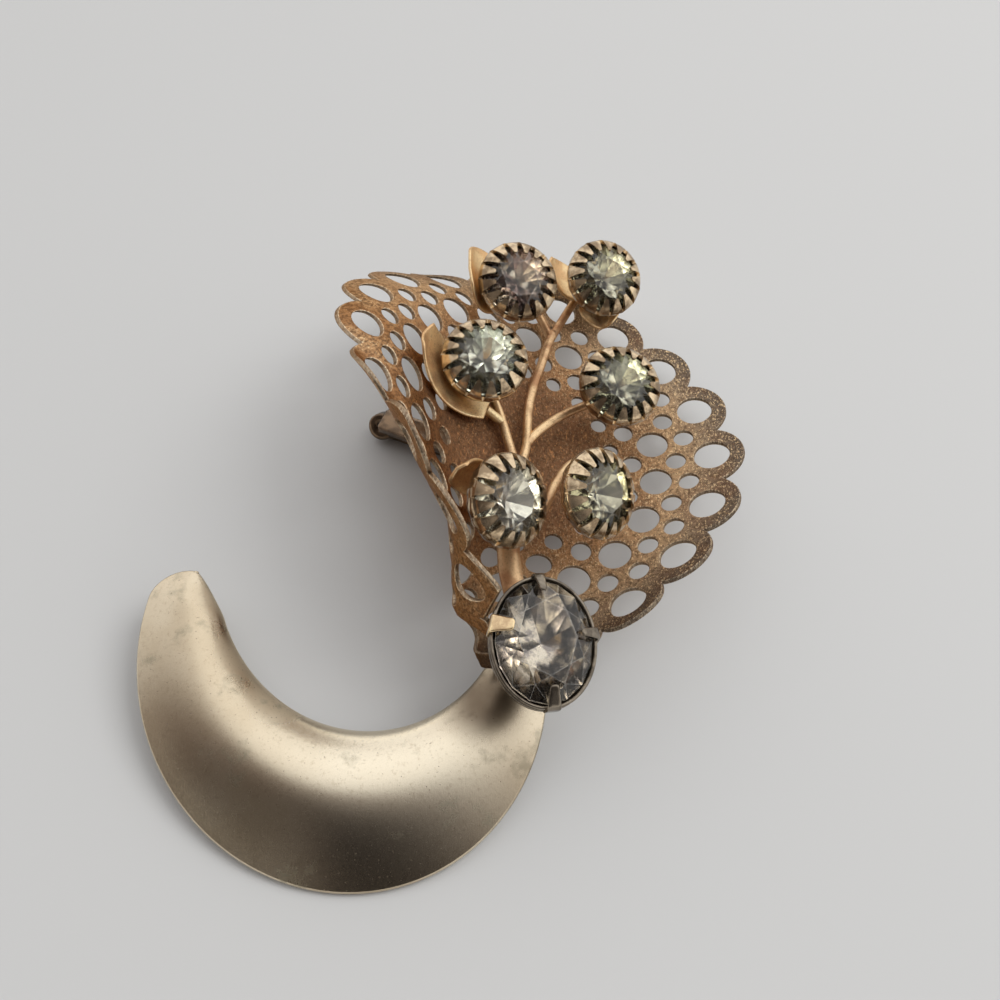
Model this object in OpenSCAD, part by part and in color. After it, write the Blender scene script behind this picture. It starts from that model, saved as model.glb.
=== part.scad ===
// Flower brooch, in millimetres: a pierced lace sheet rolled on a cone, a spray of six round
// stones lying in its trough, an oval stone at its foot and a plain domed crescent.
// It lies on its back on Z = 0. X runs to the right, Y away from the wearer's feet.

/* [Crescent] */
// Radius of the outer edge, before it is stretched
crescent_r = 16.3; // [15:0.1:18]
// Radius of the round bay
bay_r = 11.9; // [11:0.1:13]
// Distance from the middle of the outer edge to the middle of the bay
bay_offset = 7.0; // [6:0.1:8]
// Direction in which the bay opens, degrees from +X
bay_bearing = 76.4; // [70:0.1:90]
// Stretch of the round outline, and its direction in degrees from +X
stretch = 1.115; // [1:0.005:1.2]
stretch_bearing = 122; // [90:1:150]
// Height of the dome over its rims at the widest place
dome_h = 2.6; // [1:0.1:4]
// Thickness of the sheet
crescent_t = 0.6; // [0.4:0.1:1]
// Slope of the crescent, rising away from its lowest rim, in degrees
crescent_slope = 10; // [6:1:12]

/* [Lace] */
// Number of scallops round the edge
scallops = 19; // [18:1:20]
// Thickness of the pierced sheet
lace_t = 0.5; // [0.4:0.1:0.8]
// Half angle of the cone that the sheet is rolled on, in degrees
cone_half = 41; // [39:1:43]
// Rise of the cone's axis, in degrees
cone_rise = 38.5; // [37:0.5:40]
// Bearing of the cone's axis from +Y towards +X, in degrees
cone_bearing = 19.5; // [15:0.5:24]
// Roll of the sheet round the cone, towards its left wall, in degrees
sheet_roll = 35.7; // [30:0.1:40]

/* [Stones] */
// Diameter of a round stone
round_d = 6.5; // [6:0.1:7]
// Number of sawtooth claws round each round stone
claws = 16; // [12:1:18]
// Width of the oval stone
oval_w = 7.4; // [7:0.1:8]
// Length of the oval stone
oval_l = 9.3; // [9:0.1:10]

/* [Spray] */
// Radius of the spray's wires
wire_r = 0.42; // [0.3:0.01:0.6]
// Width and thickness of the flat trunk
trunk_w = 1.9; // [1.4:0.1:2.4]
trunk_t = 1.0; // [0.8:0.1:1.4]
// Thickness of the leaves
leaf_t = 0.35; // [0.3:0.05:0.5]

/* [Pin] */
// Diameter of the pin stem
stem_d = 0.9; // [0.7:0.1:1.1]
// Length of the fitting from its eye to its catch
pin_len = 20; // [18:0.5:22]

/* [Hidden] */

gold = "#b08a55";
pale_gold = "#c9b68a";
copper = "#9a6a42";
clear_stone = "#c8cdbd";

// Small gap between pieces that touch on the real brooch
gap = 0.12;

// Middle of the crescent's lowest rim
crescent_foot = [-9.3, -29.35, 0];
// Where the left horn starts to round off and the right one ends, degrees from the bay's direction
left_end = 76.4;
right_end = 77;
// Left horn's rounded end: length in degrees, sections, squareness, lean towards the bay, least width
cap_turn = 11.9;
cap_sections = 7;
cap_power = 1.7;
cap_lean = 0.064;
cap_least = 0.01;
crescent_sections = 34;
crescent_across = 8;
// Share of the width, from the inner rim, where the dome is highest is 0.5 ^ (1 / dome_skew)
dome_skew = 0.75;
// How much faster than the width the dome's height falls towards the horns
dome_taper = 1.5;

// Point of the cone, and the flat pattern's middle ahead of it
cone_point = [6.3, -14.4, 4.6];
pattern_reach = 21.3;
sector = 360 / scallops;
// Rounder fold at the foot: push, distance from the point where it ends, the stretch over which it
// grows, and turns round the cone
fold_out = 3.4;
fold_reach = 15;
fold_growth = 8;
fold_from = 10;
fold_to = 150;
// Left wall: the turns over which it sets in, the slant from which it leans and how softly that
// starts, its lean in millimetres per millimetre of slant, and how fast the lean falls off again
wall_from = 30;
wall_to = 52;
lean_start = 20;
lean_soft = 4;
wall_lean = [0.087, 0.291, 0];
wall_return = [0.0053, 0.0107, 0];
// Lip of the left wall: the distance from the middle and the slant at which it starts, the stretch
// over which it sets in, how it curls over, and the turns over which it fades out
lip_r = 12.5;
lip_start = 14;
lip_growth = 8;
lip_curl = [-0.029, 0.007, -0.063];
lip_from = 98;
lip_to = 122;
// Rim of the flat pattern, at a scallop's crown and at a valley
crown_r = 21.1;
valley_r = 19.1;
rim_steps = 8;

// Rows of holes: distance from the middle, half sectors from the scallop's axis, hole radius, sides
ROW_R = 0;
ROW_H = 1;
ROW_HOLE = 2;
ROW_SIDES = 3;
HOLE_ROWS = [
    [18.2, 0, 1.60, 10],
    [16.1, 1, 0.90, 8],
    [14.95, 0, 0.90, 8],
    [13.15, 1, 1.42, 10],
    [10.95, 0, 0.88, 8],
    [9.15, 1, 0.72, 8]];
// Joints of the net between the holes: distance from the middle, half sectors either side
NET = [
    [16.35, 0.46],
    [14.75, 0.58],
    [12.55, 0.44],
    [10.25, 0.56],
    [8.3, 0.5]];
LAST_JOINT = len(NET) - 1;
// Plain middle of the sheet: distances of its rings of points, and their half sectors either side
PLAIN = [5.6, 2.8];
plain_half = 0.5;

// Round stones: middle of the girdle, lean from upright, bearing of the lean, turn about itself
FLOWERS = [
    [[5.37, 22.1, 11.2], 28, -56, 4],
    [[13.9, 25.6, 8.0], 29, -56, 11],
    [[2.4, 11.65, 12.8], 17, -58, 0],
    [[14.5, 12.1, 8.5], 19, -52, 8],
    [[4.4, -2.7, 13.5], 46, -28, 3],
    [[11.8, -0.3, 10.5], 44, -29, 7]];
PLACE = 0;
LEAN = 1;
BEARING = 2;
TURN = 3;
OVAL = [[6.95, -13.3, 11.0], 13, -38, 42];

// Cup of a round setting, measured from the girdle
cup_depth = 2.2;
// Distance below the cup at which its wire turns square to it
neck = 0.9;
cup_r = round_d / 2 + 0.5;
cup_wall = 0.33;
claw_tip_r = 0.76 * round_d / 2;
claw_rise = 1.0;
claw_t = 0.3;
// Outline of the cup and a claw, outside and then inside: distance from the axis, height
CUP_LINE = [
    [0, -cup_depth], [0.45 * cup_r, -cup_depth], [0.74 * cup_r, -1.6], [cup_r, -0.6], [cup_r, 0.2],
    [cup_r - 0.18, 0.55], [claw_tip_r, claw_rise + claw_t], [claw_tip_r, claw_rise],
    [round_d / 2, 0.28], [cup_r - cup_wall, 0.2], [cup_r - cup_wall, -0.35],
    [0.3, 0.3 - cup_depth], [0, 0.3 - cup_depth]];
// Slot between two claws: its floor, its outer end, and half its opening at the claws' tips, in claws
slot_floor = 0.2;
slot_r = cup_r - 0.12;
slot_open = 0.32;

// Wires of the spray: ends and bends, chosen by hand
FORK = [5.2, 3.8, 7.4];
TRUNK = [[5.6, -10.0, 7.0], [4.7, -6.8, 7.5], [4.4, -4.2, 7.7], [4.6, -0.4, 7.7], FORK];
STEM = [FORK, [6.0, 6.4, 7.2], [6.4, 11.5, 6.7], [7.6, 16.3, 6.3], [8.8, 20.4, 6.1]];
// The wire under each round stone, from where it leaves the stem; it ends square to the cup
TWIGS = [
    [[8.6, 19.6, 6.1], [7.4, 22.4, 6.4], [5.9, 23.9, 6.8]],
    [[8.6, 19.6, 6.1], [9.8, 22.4, 5.4], [11.2, 25.4, 4.9], [12.3, 26.9, 4.8]],
    [FORK, [4.5, 6.6, 7.4], [3.5, 9.9, 8.0], [2.4, 12.2, 8.75]],
    [[6.05, 6.8, 7.15], [7.4, 8.5, 6.9], [9.5, 10.5, 6.3], [12.4, 12.6, 5.3]],
    [[4.6, -0.6, 7.7], [3.2, -0.5, 8.6], [2.1, -0.8, 10.2]],
    [[4.6, -2.6, 7.7], [6.2, -1.8, 7.4], [7.5, 0.3, 7.2], [8.6, 2.9, 7.1], [9.9, 4.5, 7.3],
        [11.3, 4.6, 7.4], [11.3, 2.4, 7.3]]];

// Leaves: point on its wire, foot of its blade, bearing, first climb, curl, roll about the climb,
// length, width, depth of its cup
ROOT = 0;
FOOT = 1;
AIM = 2;
CLIMB = 3;
CURL = 4;
ROLL = 5;
LONG = 6;
WIDE = 7;
CUP = 8;
LEAVES = [
    [[4.9, 23.5, 8.0], [4.42, 23.79, 8.79], 188, 10, 79, -18, 6.3, 6.4, 0.1],
    [[12.7, 26.9, 5.0], [12.5, 26.9, 5.1], 180, 1, 62, 7, 5.2, 5.0, 0.45],
    [[12.7, 26.9, 5.0], [13.6, 26.6, 4.9], -87, -14, 12, 4, 4.3, 4.0, 0.7],
    [[3.9, 8.7, 7.7], [2.42, 9.15, 9.07], 161, 18.5, 57, 19.6, 9.15, 6.1, 0.42],
    [[2.6, -0.65, 9.4], [3.1, -0.4, 10.5], 155, 47, 65, -39, 7.4, 3.1, 0.2]];
leaf_steps = 6;
leaf_across = 4;

// Pin fitting: middle of its eye, and the bar behind the lace
EYE = [-7.6, 12.6, 1.5];
eye_r = 1.3;
eye_hole = 0.43;
eye_w = 1.4;
eye_tilt = 40;
pin_bearing = -22;
catch_l = 1.4;
bar_w = 2.4;
bar_top = 2.95;
bar_t = 1.1;

function turned(v, by) = [v[0] * cos(by) - v[1] * sin(by), v[0] * sin(by) + v[1] * cos(by)];
function unit(v) = v / norm(v);

// Closed solid between two grids of points: an upper one, and a lower one in the same order
module sheet_between(top, low) {
    rows = len(top);
    cols = len(top[0]);
    count = rows * cols;
    points = concat([for (row = top) each row], [for (row = low) each row]);
    upper = [for (i = [0:rows - 2], j = [0:cols - 2], k = [0, 1])
        let (a = i * cols + j, b = a + 1, c = a + cols, d = c + 1)
        k == 0 ? [a, c, d] : [a, d, b]];
    lower = [for (f = upper) [f[2] + count, f[1] + count, f[0] + count]];
    edge = concat(
        [for (j = [0:cols - 1]) j],
        [for (i = [1:rows - 1]) i * cols + cols - 1],
        [for (j = [cols - 2:-1:0]) (rows - 1) * cols + j],
        [for (i = [rows - 2:-1:1]) i * cols]);
    last = len(edge) - 1;
    side = [for (i = [0:last], k = [0, 1])
        let (a = edge[i], b = edge[i == last ? 0 : i + 1])
        k == 0 ? [a, b, b + count] : [a, b + count, a + count]];
    polyhedron(points, concat(upper, lower, side));
}

// Closed solid through a stack of rings, capped at both ends
module ring_stack(rings) {
    sides = len(rings[0]);
    levels = len(rings);
    points = [for (ring = rings) each ring];
    wall = [for (i = [0:levels - 2], j = [0:sides - 1], k = [0, 1])
        let (a = i * sides + j, b = i * sides + (j + 1) % sides, c = a + sides, d = b + sides)
        k == 0 ? [a, c, d] : [a, d, b]];
    first = [for (j = [0:sides - 1]) j];
    end = [for (j = [sides - 1:-1:0]) (levels - 1) * sides + j];
    polyhedron(points, concat(wall, [first, end]));
}

// Curve through hand-picked points, with a few steps in each span
function smooth(path, steps) = concat(
    [for (i = [0:len(path) - 2], s = [0:steps - 1])
        let (p0 = path[max(i - 1, 0)], p1 = path[i], p2 = path[i + 1],
            p3 = path[min(i + 2, len(path) - 1)], t = s / steps)
        0.5 * (2 * p1 + (p2 - p0) * t + (2 * p0 - 5 * p1 + 4 * p2 - p3) * t * t
            + (3 * p1 - p0 - 3 * p2 + p3) * t * t * t)],
    [path[len(path) - 1]]);

// Rings of a wire or a strip along a curve; side_ref is a direction that it never runs along
function sweep_rings(curve, half_w, half_t, sides, side_ref) =
    [for (i = [0:len(curve) - 1])
        let (ahead = unit(curve[min(i + 1, len(curve) - 1)] - curve[max(i - 1, 0)]),
            across = unit(cross(ahead, side_ref)),
            up = cross(across, ahead))
        [for (k = [0:sides - 1])
            let (angle = 360 * (k + 0.5) / sides)
            curve[i] + across * half_w * cos(angle) - up * half_t * sin(angle)]];

// Crescent: distance of the inner rim from the middle of the outer edge, at an angle from the bay
function bay_edge(angle) = bay_offset * cos(angle)
    + sqrt(bay_r * bay_r - pow(bay_offset * sin(angle), 2));
widest = crescent_r - bay_edge(180);
stretch_way = [cos(stretch_bearing), sin(stretch_bearing)];
// How far the stretched outer edge's lowest point is below its middle
crescent_low = crescent_r * sqrt(1 + (stretch * stretch - 1) * stretch_way[1] * stretch_way[1]);

// A section of the crescent: points across it at angle, drawn in by the rounded end
function crescent_row(angle, lift) =
    let (spare = max(left_end + cap_turn - angle, 0) / cap_turn,
        full = crescent_r - bay_edge(angle),
        middle = (crescent_r + bay_edge(angle)) / 2 - cap_lean * full * spare * spare,
        width = full * pow(max(1 - pow(spare, cap_power), cap_least), 1 / cap_power),
        height = dome_h * pow(width / widest, dome_taper),
        bearing = bay_bearing + angle)
    [for (j = [0:crescent_across])
        let (share = j / crescent_across,
            at = (middle + (share - 0.5) * width) * [cos(bearing), sin(bearing)],
            drawn = at + (stretch - 1) * (at * stretch_way) * stretch_way,
            rise = height * sin(180 * pow(share, dome_skew)) + lift)
        [drawn[0], crescent_low + drawn[1], rise]];

module crescent() {
    start = left_end + cap_turn;
    span = 360 - right_end - start;
    angles = concat(
        [for (i = [0:cap_sections - 1]) start - cap_turn * cos(90 * i / cap_sections)],
        [for (i = [0:crescent_sections]) start + span * i / crescent_sections]);
    rows_low = [for (angle = angles) crescent_row(angle, 0)];
    rows_top = [for (row = rows_low) [for (p = row) p + [0, 0, crescent_t]]];
    color(pale_gold)
        translate(crescent_foot)
            rotate([crescent_slope, 0, 0])
                sheet_between(rows_top, rows_low);
}

// The cone: its axis, the lowest direction across it and the direction to its left
cone_axis = [cos(cone_rise) * sin(cone_bearing), cos(cone_rise) * cos(cone_bearing), sin(cone_rise)];
cone_low = [sin(cone_rise) * sin(cone_bearing), sin(cone_rise) * cos(cone_bearing), -cos(cone_rise)];
cone_left = cross(cone_axis, cone_low);

// The fold at the foot is rounder than the cone: how far it is pushed out to the left
function fold_push(slant, turn) = turn < fold_from || turn > fold_to || slant > fold_reach ? 0
    : fold_out * min((fold_reach - slant) / fold_growth, 1)
        * sin(180 * (turn - fold_from) / (fold_to - fold_from));

function eased(share) = let (t = min(max(share, 0), 1)) t * t * (3 - 2 * t);
function ramp(x, soft) = (x + sqrt(x * x + soft * soft)) / 2;

// A flat point of the pattern, rolled onto the cone, raised off the middle of the sheet. The left
// wall leans back, and its lip curls out.
function rolled(flat, lift) =
    let (ahead = flat[1] + pattern_reach,
        slant = norm([flat[0], ahead]),
        turn = sheet_roll - atan2(flat[0], ahead) / sin(cone_half),
        out = cone_low * cos(turn) + cone_left * sin(turn),
        along = cone_axis * cos(cone_half) + out * sin(cone_half),
        inward = cone_axis * sin(cone_half) - out * cos(cone_half),
        wall = eased((turn - wall_from) / (wall_to - wall_from)),
        up = ramp(slant - lean_start, lean_soft),
        fade = 1 - eased((turn - lip_from) / (lip_to - lip_from)),
        lip = fade * eased((slant - lip_start) / lip_growth) * pow(max(norm(flat) - lip_r, 0), 2))
    cone_point + along * slant + inward * lift - [fold_push(slant, turn), 0, 0]
        + wall * (up * wall_lean - up * up * wall_return + lip * lip_curl);

// A point of the pattern from its distance and its place in half sectors; 0 is the cone's side
function flat_at(r, half) =
    let (angle = (half + 1) * sector / 2)
    [r * sin(angle), -r * cos(angle)];

// The sectors' points: the holes' rings, then the rim, the net's joints and the plain rings
function ring_start(row) = row == 0 ? 0 : ring_start(row - 1) + HOLE_ROWS[row - 1][ROW_SIDES];
rim_start = ring_start(len(HOLE_ROWS));
net_start = rim_start + rim_steps;
plain_start = net_start + 2 * len(NET);
sector_count = plain_start + 2 * len(PLAIN);

function rim_r(half) = valley_r + (crown_r - valley_r) * sqrt(max(1 - half * half, 0));
function hole_middle(row) = flat_at(HOLE_ROWS[row][ROW_R], HOLE_ROWS[row][ROW_H]);
function hole_out(row) = atan2(hole_middle(row)[1], hole_middle(row)[0]);

sector_flat = concat(
    [for (row = [0:len(HOLE_ROWS) - 1], i = [0:HOLE_ROWS[row][ROW_SIDES] - 1])
        let (angle = hole_out(row) + 360 * i / HOLE_ROWS[row][ROW_SIDES])
        hole_middle(row) + HOLE_ROWS[row][ROW_HOLE] * [cos(angle), sin(angle)]],
    [for (i = [0:rim_steps - 1]) let (half = 2 * i / rim_steps - 1) flat_at(rim_r(half), half)],
    [for (joint = NET, way = [-1, 1]) flat_at(joint[0], way * joint[1])],
    [for (r = PLAIN, way = [-1, 1]) flat_at(r, way * plain_half)]);
lace_flat = concat(
    [for (s = [0:scallops - 1], p = sector_flat) turned(p, s * sector)],
    [[0, 0]]);
side_count = len(lace_flat);

function id(s, k) = (s % scallops) * sector_count + k;
function rim_id(s, i) = id(s, rim_start + i);
function net_id(s, joint, way) = id(s, net_start + 2 * joint + (way > 0 ? 1 : 0));
function plain_id(s, ring, way) = id(s, plain_start + 2 * ring + (way > 0 ? 1 : 0));

// Corners of the net round the hole of each row, turning the same way as the hole's ring
function cell(s, row) =
    row == 0 ? concat([for (i = [0:rim_steps - 1]) rim_id(s, i)],
        [rim_id(s + 1, 0), net_id(s, 0, 1), net_id(s, 0, -1)])
    : row == 1 ? [rim_id(s + 1, 0), net_id(s + 1, 0, -1), net_id(s + 1, 1, -1),
        net_id(s, 1, 1), net_id(s, 0, 1)]
    : row == 2 ? [net_id(s, 0, 1), net_id(s, 1, 1), net_id(s, 2, 1),
        net_id(s, 2, -1), net_id(s, 1, -1), net_id(s, 0, -1)]
    : row == 3 ? [net_id(s + 1, 1, -1), net_id(s + 1, 2, -1), net_id(s + 1, 3, -1),
        net_id(s, 3, 1), net_id(s, 2, 1), net_id(s, 1, 1)]
    : row == 4 ? [net_id(s, 2, 1), net_id(s, 3, 1), net_id(s, 4, 1),
        net_id(s, 4, -1), net_id(s, 3, -1), net_id(s, 2, -1)]
    : [net_id(s + 1, 3, -1), net_id(s + 1, 4, -1), net_id(s, 4, 1), net_id(s, 3, 1)];

function wrapped(angle) = angle - 360 * floor((angle + 180) / 360);
// Which corner of a cell lies nearest to a direction from the hole's middle
function nearest(corners, middle, angle, i = 0, best = 0, least = 999) =
    i == len(corners) ? best
    : let (d = lace_flat[corners[i]] - middle, off = abs(wrapped(atan2(d[1], d[0]) - angle)))
        off < least ? nearest(corners, middle, angle, i + 1, i, off)
        : nearest(corners, middle, angle, i + 1, best, least);

// Triangles between a hole's ring and the corners of its cell
function cell_faces(s, row) =
    let (sides = HOLE_ROWS[row][ROW_SIDES], corners = cell(s, row), count = len(corners),
        middle = turned(hole_middle(row), s * sector),
        out = hole_out(row) + s * sector,
        owner = [for (i = [0:sides - 1]) nearest(corners, middle, out + 360 * (i + 0.5) / sides)])
    [for (i = [0:sides - 1])
        let (here = id(s, ring_start(row) + i), next = id(s, ring_start(row) + (i + 1) % sides),
            before = owner[(i + sides - 1) % sides], jump = (owner[i] - before + count) % count)
        each concat([[here, next, corners[owner[i]]]],
            jump == 0 ? [] : [for (k = [0:jump - 1])
                [here, corners[(before + k + 1) % count], corners[(before + k) % count]]])];

function plain_faces(s) =
    let (rings = [for (way = [-1, 1])
            [net_id(s, LAST_JOINT, way), plain_id(s, 0, way), plain_id(s, 1, way)]],
        next = [net_id(s + 1, LAST_JOINT, -1), plain_id(s + 1, 0, -1), plain_id(s + 1, 1, -1)],
        strips = [[rings[0], rings[1]], [rings[1], next]])
    [for (strip = strips, k = [0, 1, 2])
        each k == 2 ? [[strip[0][2], side_count - 1, strip[1][2]]]
            : [[strip[0][k], strip[0][k + 1], strip[1][k + 1]],
                [strip[0][k], strip[1][k + 1], strip[1][k]]]];

front_faces = [for (s = [0:scallops - 1])
    each concat([for (row = [0:len(HOLE_ROWS) - 1]) each cell_faces(s, row)], plain_faces(s))];

function wall(a, b) = [[a, b, b + side_count], [a, b + side_count, a + side_count]];

lace_edges = concat(
    [for (s = [0:scallops - 1], i = [0:rim_steps - 1])
        each wall(rim_id(s, i), i == rim_steps - 1 ? rim_id(s + 1, 0) : rim_id(s, i + 1))],
    [for (s = [0:scallops - 1], row = [0:len(HOLE_ROWS) - 1])
        let (sides = HOLE_ROWS[row][ROW_SIDES], start = ring_start(row))
        for (i = [0:sides - 1]) each wall(id(s, start + (i + 1) % sides), id(s, start + i))]);

module lace_sheet() {
    points = concat(
        [for (p = lace_flat) rolled(p, lace_t / 2)],
        [for (p = lace_flat) rolled(p, -lace_t / 2)]);
    back = [for (f = front_faces) [f[2] + side_count, f[1] + side_count, f[0] + side_count]];
    polyhedron(points, concat(front_faces, back, lace_edges));
}

// Puts a piece whose girdle is at its own origin where a row says
module placed(row) {
    translate(row[PLACE])
        rotate([0, 0, row[BEARING]])
            rotate([0, row[LEAN], 0])
                rotate([0, 0, row[TURN]])
                    children();
}

// Foot of the oval setting, from its cup down to the floor of the lace
foot_r = 1.3;
foot_top = OVAL[PLACE] - [0.7, -0.5, 3.0];
foot_bottom = 5.1;
oval_rim = 0.38;

module foot(grow) {
    translate([foot_top[0], foot_top[1], foot_bottom - grow])
        cylinder(h = foot_top[2] - foot_bottom + 2 * grow, r = foot_r + grow, $fn = 24);
}

function oval_ring(grow_w, grow_l, z, sides = 28) =
    [for (k = [0:sides - 1])
        let (angle = -360 * k / sides)
        [(oval_w / 2 + grow_w) * cos(angle), (oval_l / 2 + grow_l) * sin(angle), z]];

// Room cut in the lace for the oval setting and its foot
module oval_room() {
    room = oval_rim + 0.3;
    placed(OVAL)
        ring_stack([oval_ring(room, room, 8), oval_ring(room, room, -1.4), oval_ring(-0.7, -0.7, -3.5)]);
    foot(0.25);
}

module lace() {
    color(copper)
        difference() {
            lace_sheet();
            oval_room();
        }
}

// A cup whose edge stands up in sawtooth claws that are bent in over the stone's edge
module setting(row) {
    color(pale_gold)
        placed(row)
            difference() {
                rotate_extrude($fn = 48)
                    polygon(CUP_LINE);
                translate([0, 0, slot_floor])
                    linear_extrude(height = cup_depth)
                        polygon([for (i = [0:claws - 1], k = [-1, 0, 1])
                            let (angle = 360 * (i + k * slot_open) / claws,
                                r = k == 0 ? slot_r : claw_tip_r)
                            [r * cos(angle), r * sin(angle)]]);
            }
}

// Cuts of the stones: the table's share of the width, the crown's height, the girdle, the depth below
ROUND_CUT = [0.52, 0.95, 0.3, 1.6];
OVAL_CUT = [0.6, 1.2, 0.3, 2.1];

// Brilliant cut with a table, stars, kites and halves above the girdle, mains and halves below
module cut_stone(half_w, half_l, cut) {
    table = cut[0];
    crown = cut[1];
    girdle = cut[2];
    depth = cut[3];
    mid = 0.78;
    low_mid = 0.3;
    bend = cos(22.5);
    function at(share, angle, z) = [half_w * share * cos(angle), half_l * share * sin(angle), z];
    mid_z = girdle / 2 + crown * (1 - mid * bend) / (1 - table);
    low_z = -girdle / 2 - depth * (1 - low_mid * bend);
    points = concat(
        [for (k = [0:7]) at(table, 45 * k, girdle / 2 + crown)],
        [for (k = [0:7]) at(mid, 45 * k + 22.5, mid_z)],
        [for (k = [0:15]) at(1, 22.5 * k, girdle / 2)],
        [for (k = [0:15]) at(1, 22.5 * k, -girdle / 2)],
        [for (k = [0:7]) at(low_mid, 45 * k + 22.5, low_z)],
        [[0, 0, -girdle / 2 - depth]]);
    faces = concat(
        [[for (k = [7:-1:0]) k]],
        [for (k = [0:7]) [k, (k + 1) % 8, 8 + k]],
        [for (k = [0:7]) [k, 8 + k, 16 + 2 * k, 8 + (k + 7) % 8]],
        [for (k = [0:7]) [8 + k, 17 + 2 * k, 16 + 2 * k]],
        [for (k = [0:7]) [8 + k, 16 + (2 * k + 2) % 16, 17 + 2 * k]],
        [for (k = [0:15]) [16 + k, 16 + (k + 1) % 16, 32 + (k + 1) % 16, 32 + k]],
        [for (k = [0:7]) [48 + k, 32 + 2 * k, 33 + 2 * k]],
        [for (k = [0:7]) [48 + k, 33 + 2 * k, 32 + (2 * k + 2) % 16]],
        [for (k = [0:7]) [56, 48 + (k + 7) % 8, 32 + 2 * k, 48 + k]]);
    polyhedron(points, faces);
}

module stone(row) {
    color(clear_stone)
        placed(row)
            cut_stone(round_d / 2, round_d / 2, ROUND_CUT);
}

module oval_stone() {
    color(clear_stone)
        placed(OVAL)
            cut_stone(oval_w / 2, oval_l / 2, OVAL_CUT);
}

// Outline of a flat claw over the oval stone's edge: distance outside the edge, height
CLAW_LINE = [[oval_rim, -0.6], [oval_rim, 0.3], [0.05, 0.72], [-1.2, 1.7],
    [-1.3, 1.46], [0, 0.4], [gap, 0.15], [gap, -0.6]];

// Flat claw standing at the angle round the oval
module oval_claw(angle, width) {
    edge = [(oval_w / 2) * cos(angle), (oval_l / 2) * sin(angle)];
    translate([edge[0], edge[1], 0])
        rotate([90, 0, angle])
            translate([0, 0, -width / 2])
                linear_extrude(height = width)
                    polygon(CLAW_LINE);
}

// Angle round the oval, and width
OVAL_CLAWS = [[5, 0.9], [92, 1.0], [165, 1.5], [274, 1.1]];
// Cup of the oval setting, from its floor over the double rim to its base: beyond the stone, height
OVAL_CUP = [
    [-3.3, -2.45], [gap, -0.25], [gap, 0.08], [oval_rim, 0.08], [oval_rim, -0.25],
    [oval_rim - 0.14, -0.4], [oval_rim, -0.55], [oval_rim, -1.0], [-0.4, -2.1], [-1.5, -2.95]];

module oval_setting() {
    color(pale_gold) {
        placed(OVAL) {
            ring_stack([for (level = OVAL_CUP) oval_ring(level[0], level[0], level[1])]);
            for (claw = OVAL_CLAWS) oval_claw(claw[0], claw[1]);
        }
        foot(0);
    }
}

// Directions that the flat trunk and stem, and the twigs and stalks, never run along
flat_ref = [0, 0, 1];
twig_ref = [0.3, 0.5, 0.8];
wire_sides = 6;
trunk_sides = 8;
span_steps = 3;

module wire(path, ref = twig_ref) {
    ring_stack(sweep_rings(smooth(path, span_steps), wire_r, wire_r, wire_sides, ref));
}

function cup_axis(row) = [sin(row[LEAN]) * cos(row[BEARING]), sin(row[LEAN]) * sin(row[BEARING]),
    cos(row[LEAN])];
function under(row, drop) = row[PLACE] - (cup_depth + drop) * cup_axis(row);

// A leaf: a stalk from its wire, and a cupped blade that sets off at a climb and curls up over its length
module leaf(row) {
    climb = row[CLIMB];
    bend_r = row[LONG] * 180 / (row[CURL] * PI);
    function half_w(s) = row[WIDE] / 2 * (0.22 + 0.78 * sin(180 * pow(0.1 + 0.76 * s, 0.9)));
    function grid(lift) = [for (i = [0:leaf_steps])
        let (s = i / leaf_steps, heading = climb + row[CURL] * s,
            mid = bend_r * [sin(heading) - sin(climb), 0, cos(climb) - cos(heading)],
            up = [-sin(heading), 0, cos(heading)])
        [for (j = [0:leaf_across])
            let (v = 1 - 2 * j / leaf_across)
            mid + up * (lift + row[CUP] * v * v * s) + [0, v * half_w(s), 0]]];
    translate(row[FOOT])
        rotate([0, 0, row[AIM]])
            rotate(a = row[ROLL], v = [cos(climb), 0, sin(climb)])
                sheet_between(grid(leaf_t), grid(0));
    wire([row[ROOT], (row[ROOT] + row[FOOT]) / 2, row[FOOT]]);
}

module spray() {
    color(gold)
        union() {
            ring_stack(sweep_rings(smooth(TRUNK, span_steps), trunk_w / 2, trunk_t / 2,
                trunk_sides, flat_ref));
            wire(STEM, flat_ref);
            for (i = [0:len(TWIGS) - 1])
                wire(concat(TWIGS[i], [under(FLOWERS[i], neck), under(FLOWERS[i], 1.5 * gap)]));
            for (row = LEAVES) leaf(row);
        }
}

module pin_fitting() {
    color(gold)
        translate([EYE[0], EYE[1], 0])
            rotate([0, 0, pin_bearing])
                difference() {
                    union() {
                        translate([0, -bar_w / 2, bar_top - bar_t])
                            cube([pin_len, bar_w, bar_t]);
                        translate([pin_len - catch_l, -bar_w / 2, 0])
                            cube([catch_l, bar_w, bar_top]);
                        translate([0, 0, stem_d / 2])
                            rotate([0, 90, 0])
                                cylinder(h = pin_len - gap, d = stem_d, $fn = 24);
                        eye(eye_w, eye_r);
                    }
                    eye(3 * eye_w, eye_hole);
                }
}

module eye(length, radius) {
    translate([0, 0, EYE[2]])
        rotate([90 - eye_tilt, 0, 0])
            cylinder(h = length, r = radius, center = true, $fn = 32);
}

crescent();
lace();
spray();
setting(FLOWERS[0]);  // setting_1
setting(FLOWERS[1]);  // setting_2
setting(FLOWERS[2]);  // setting_3
setting(FLOWERS[3]);  // setting_4
setting(FLOWERS[4]);  // setting_5
setting(FLOWERS[5]);  // setting_6
stone(FLOWERS[0]);  // stone_1
stone(FLOWERS[1]);  // stone_2
stone(FLOWERS[2]);  // stone_3
stone(FLOWERS[3]);  // stone_4
stone(FLOWERS[4]);  // stone_5
stone(FLOWERS[5]);  // stone_6
oval_setting();
oval_stone();
pin_fitting();
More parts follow.
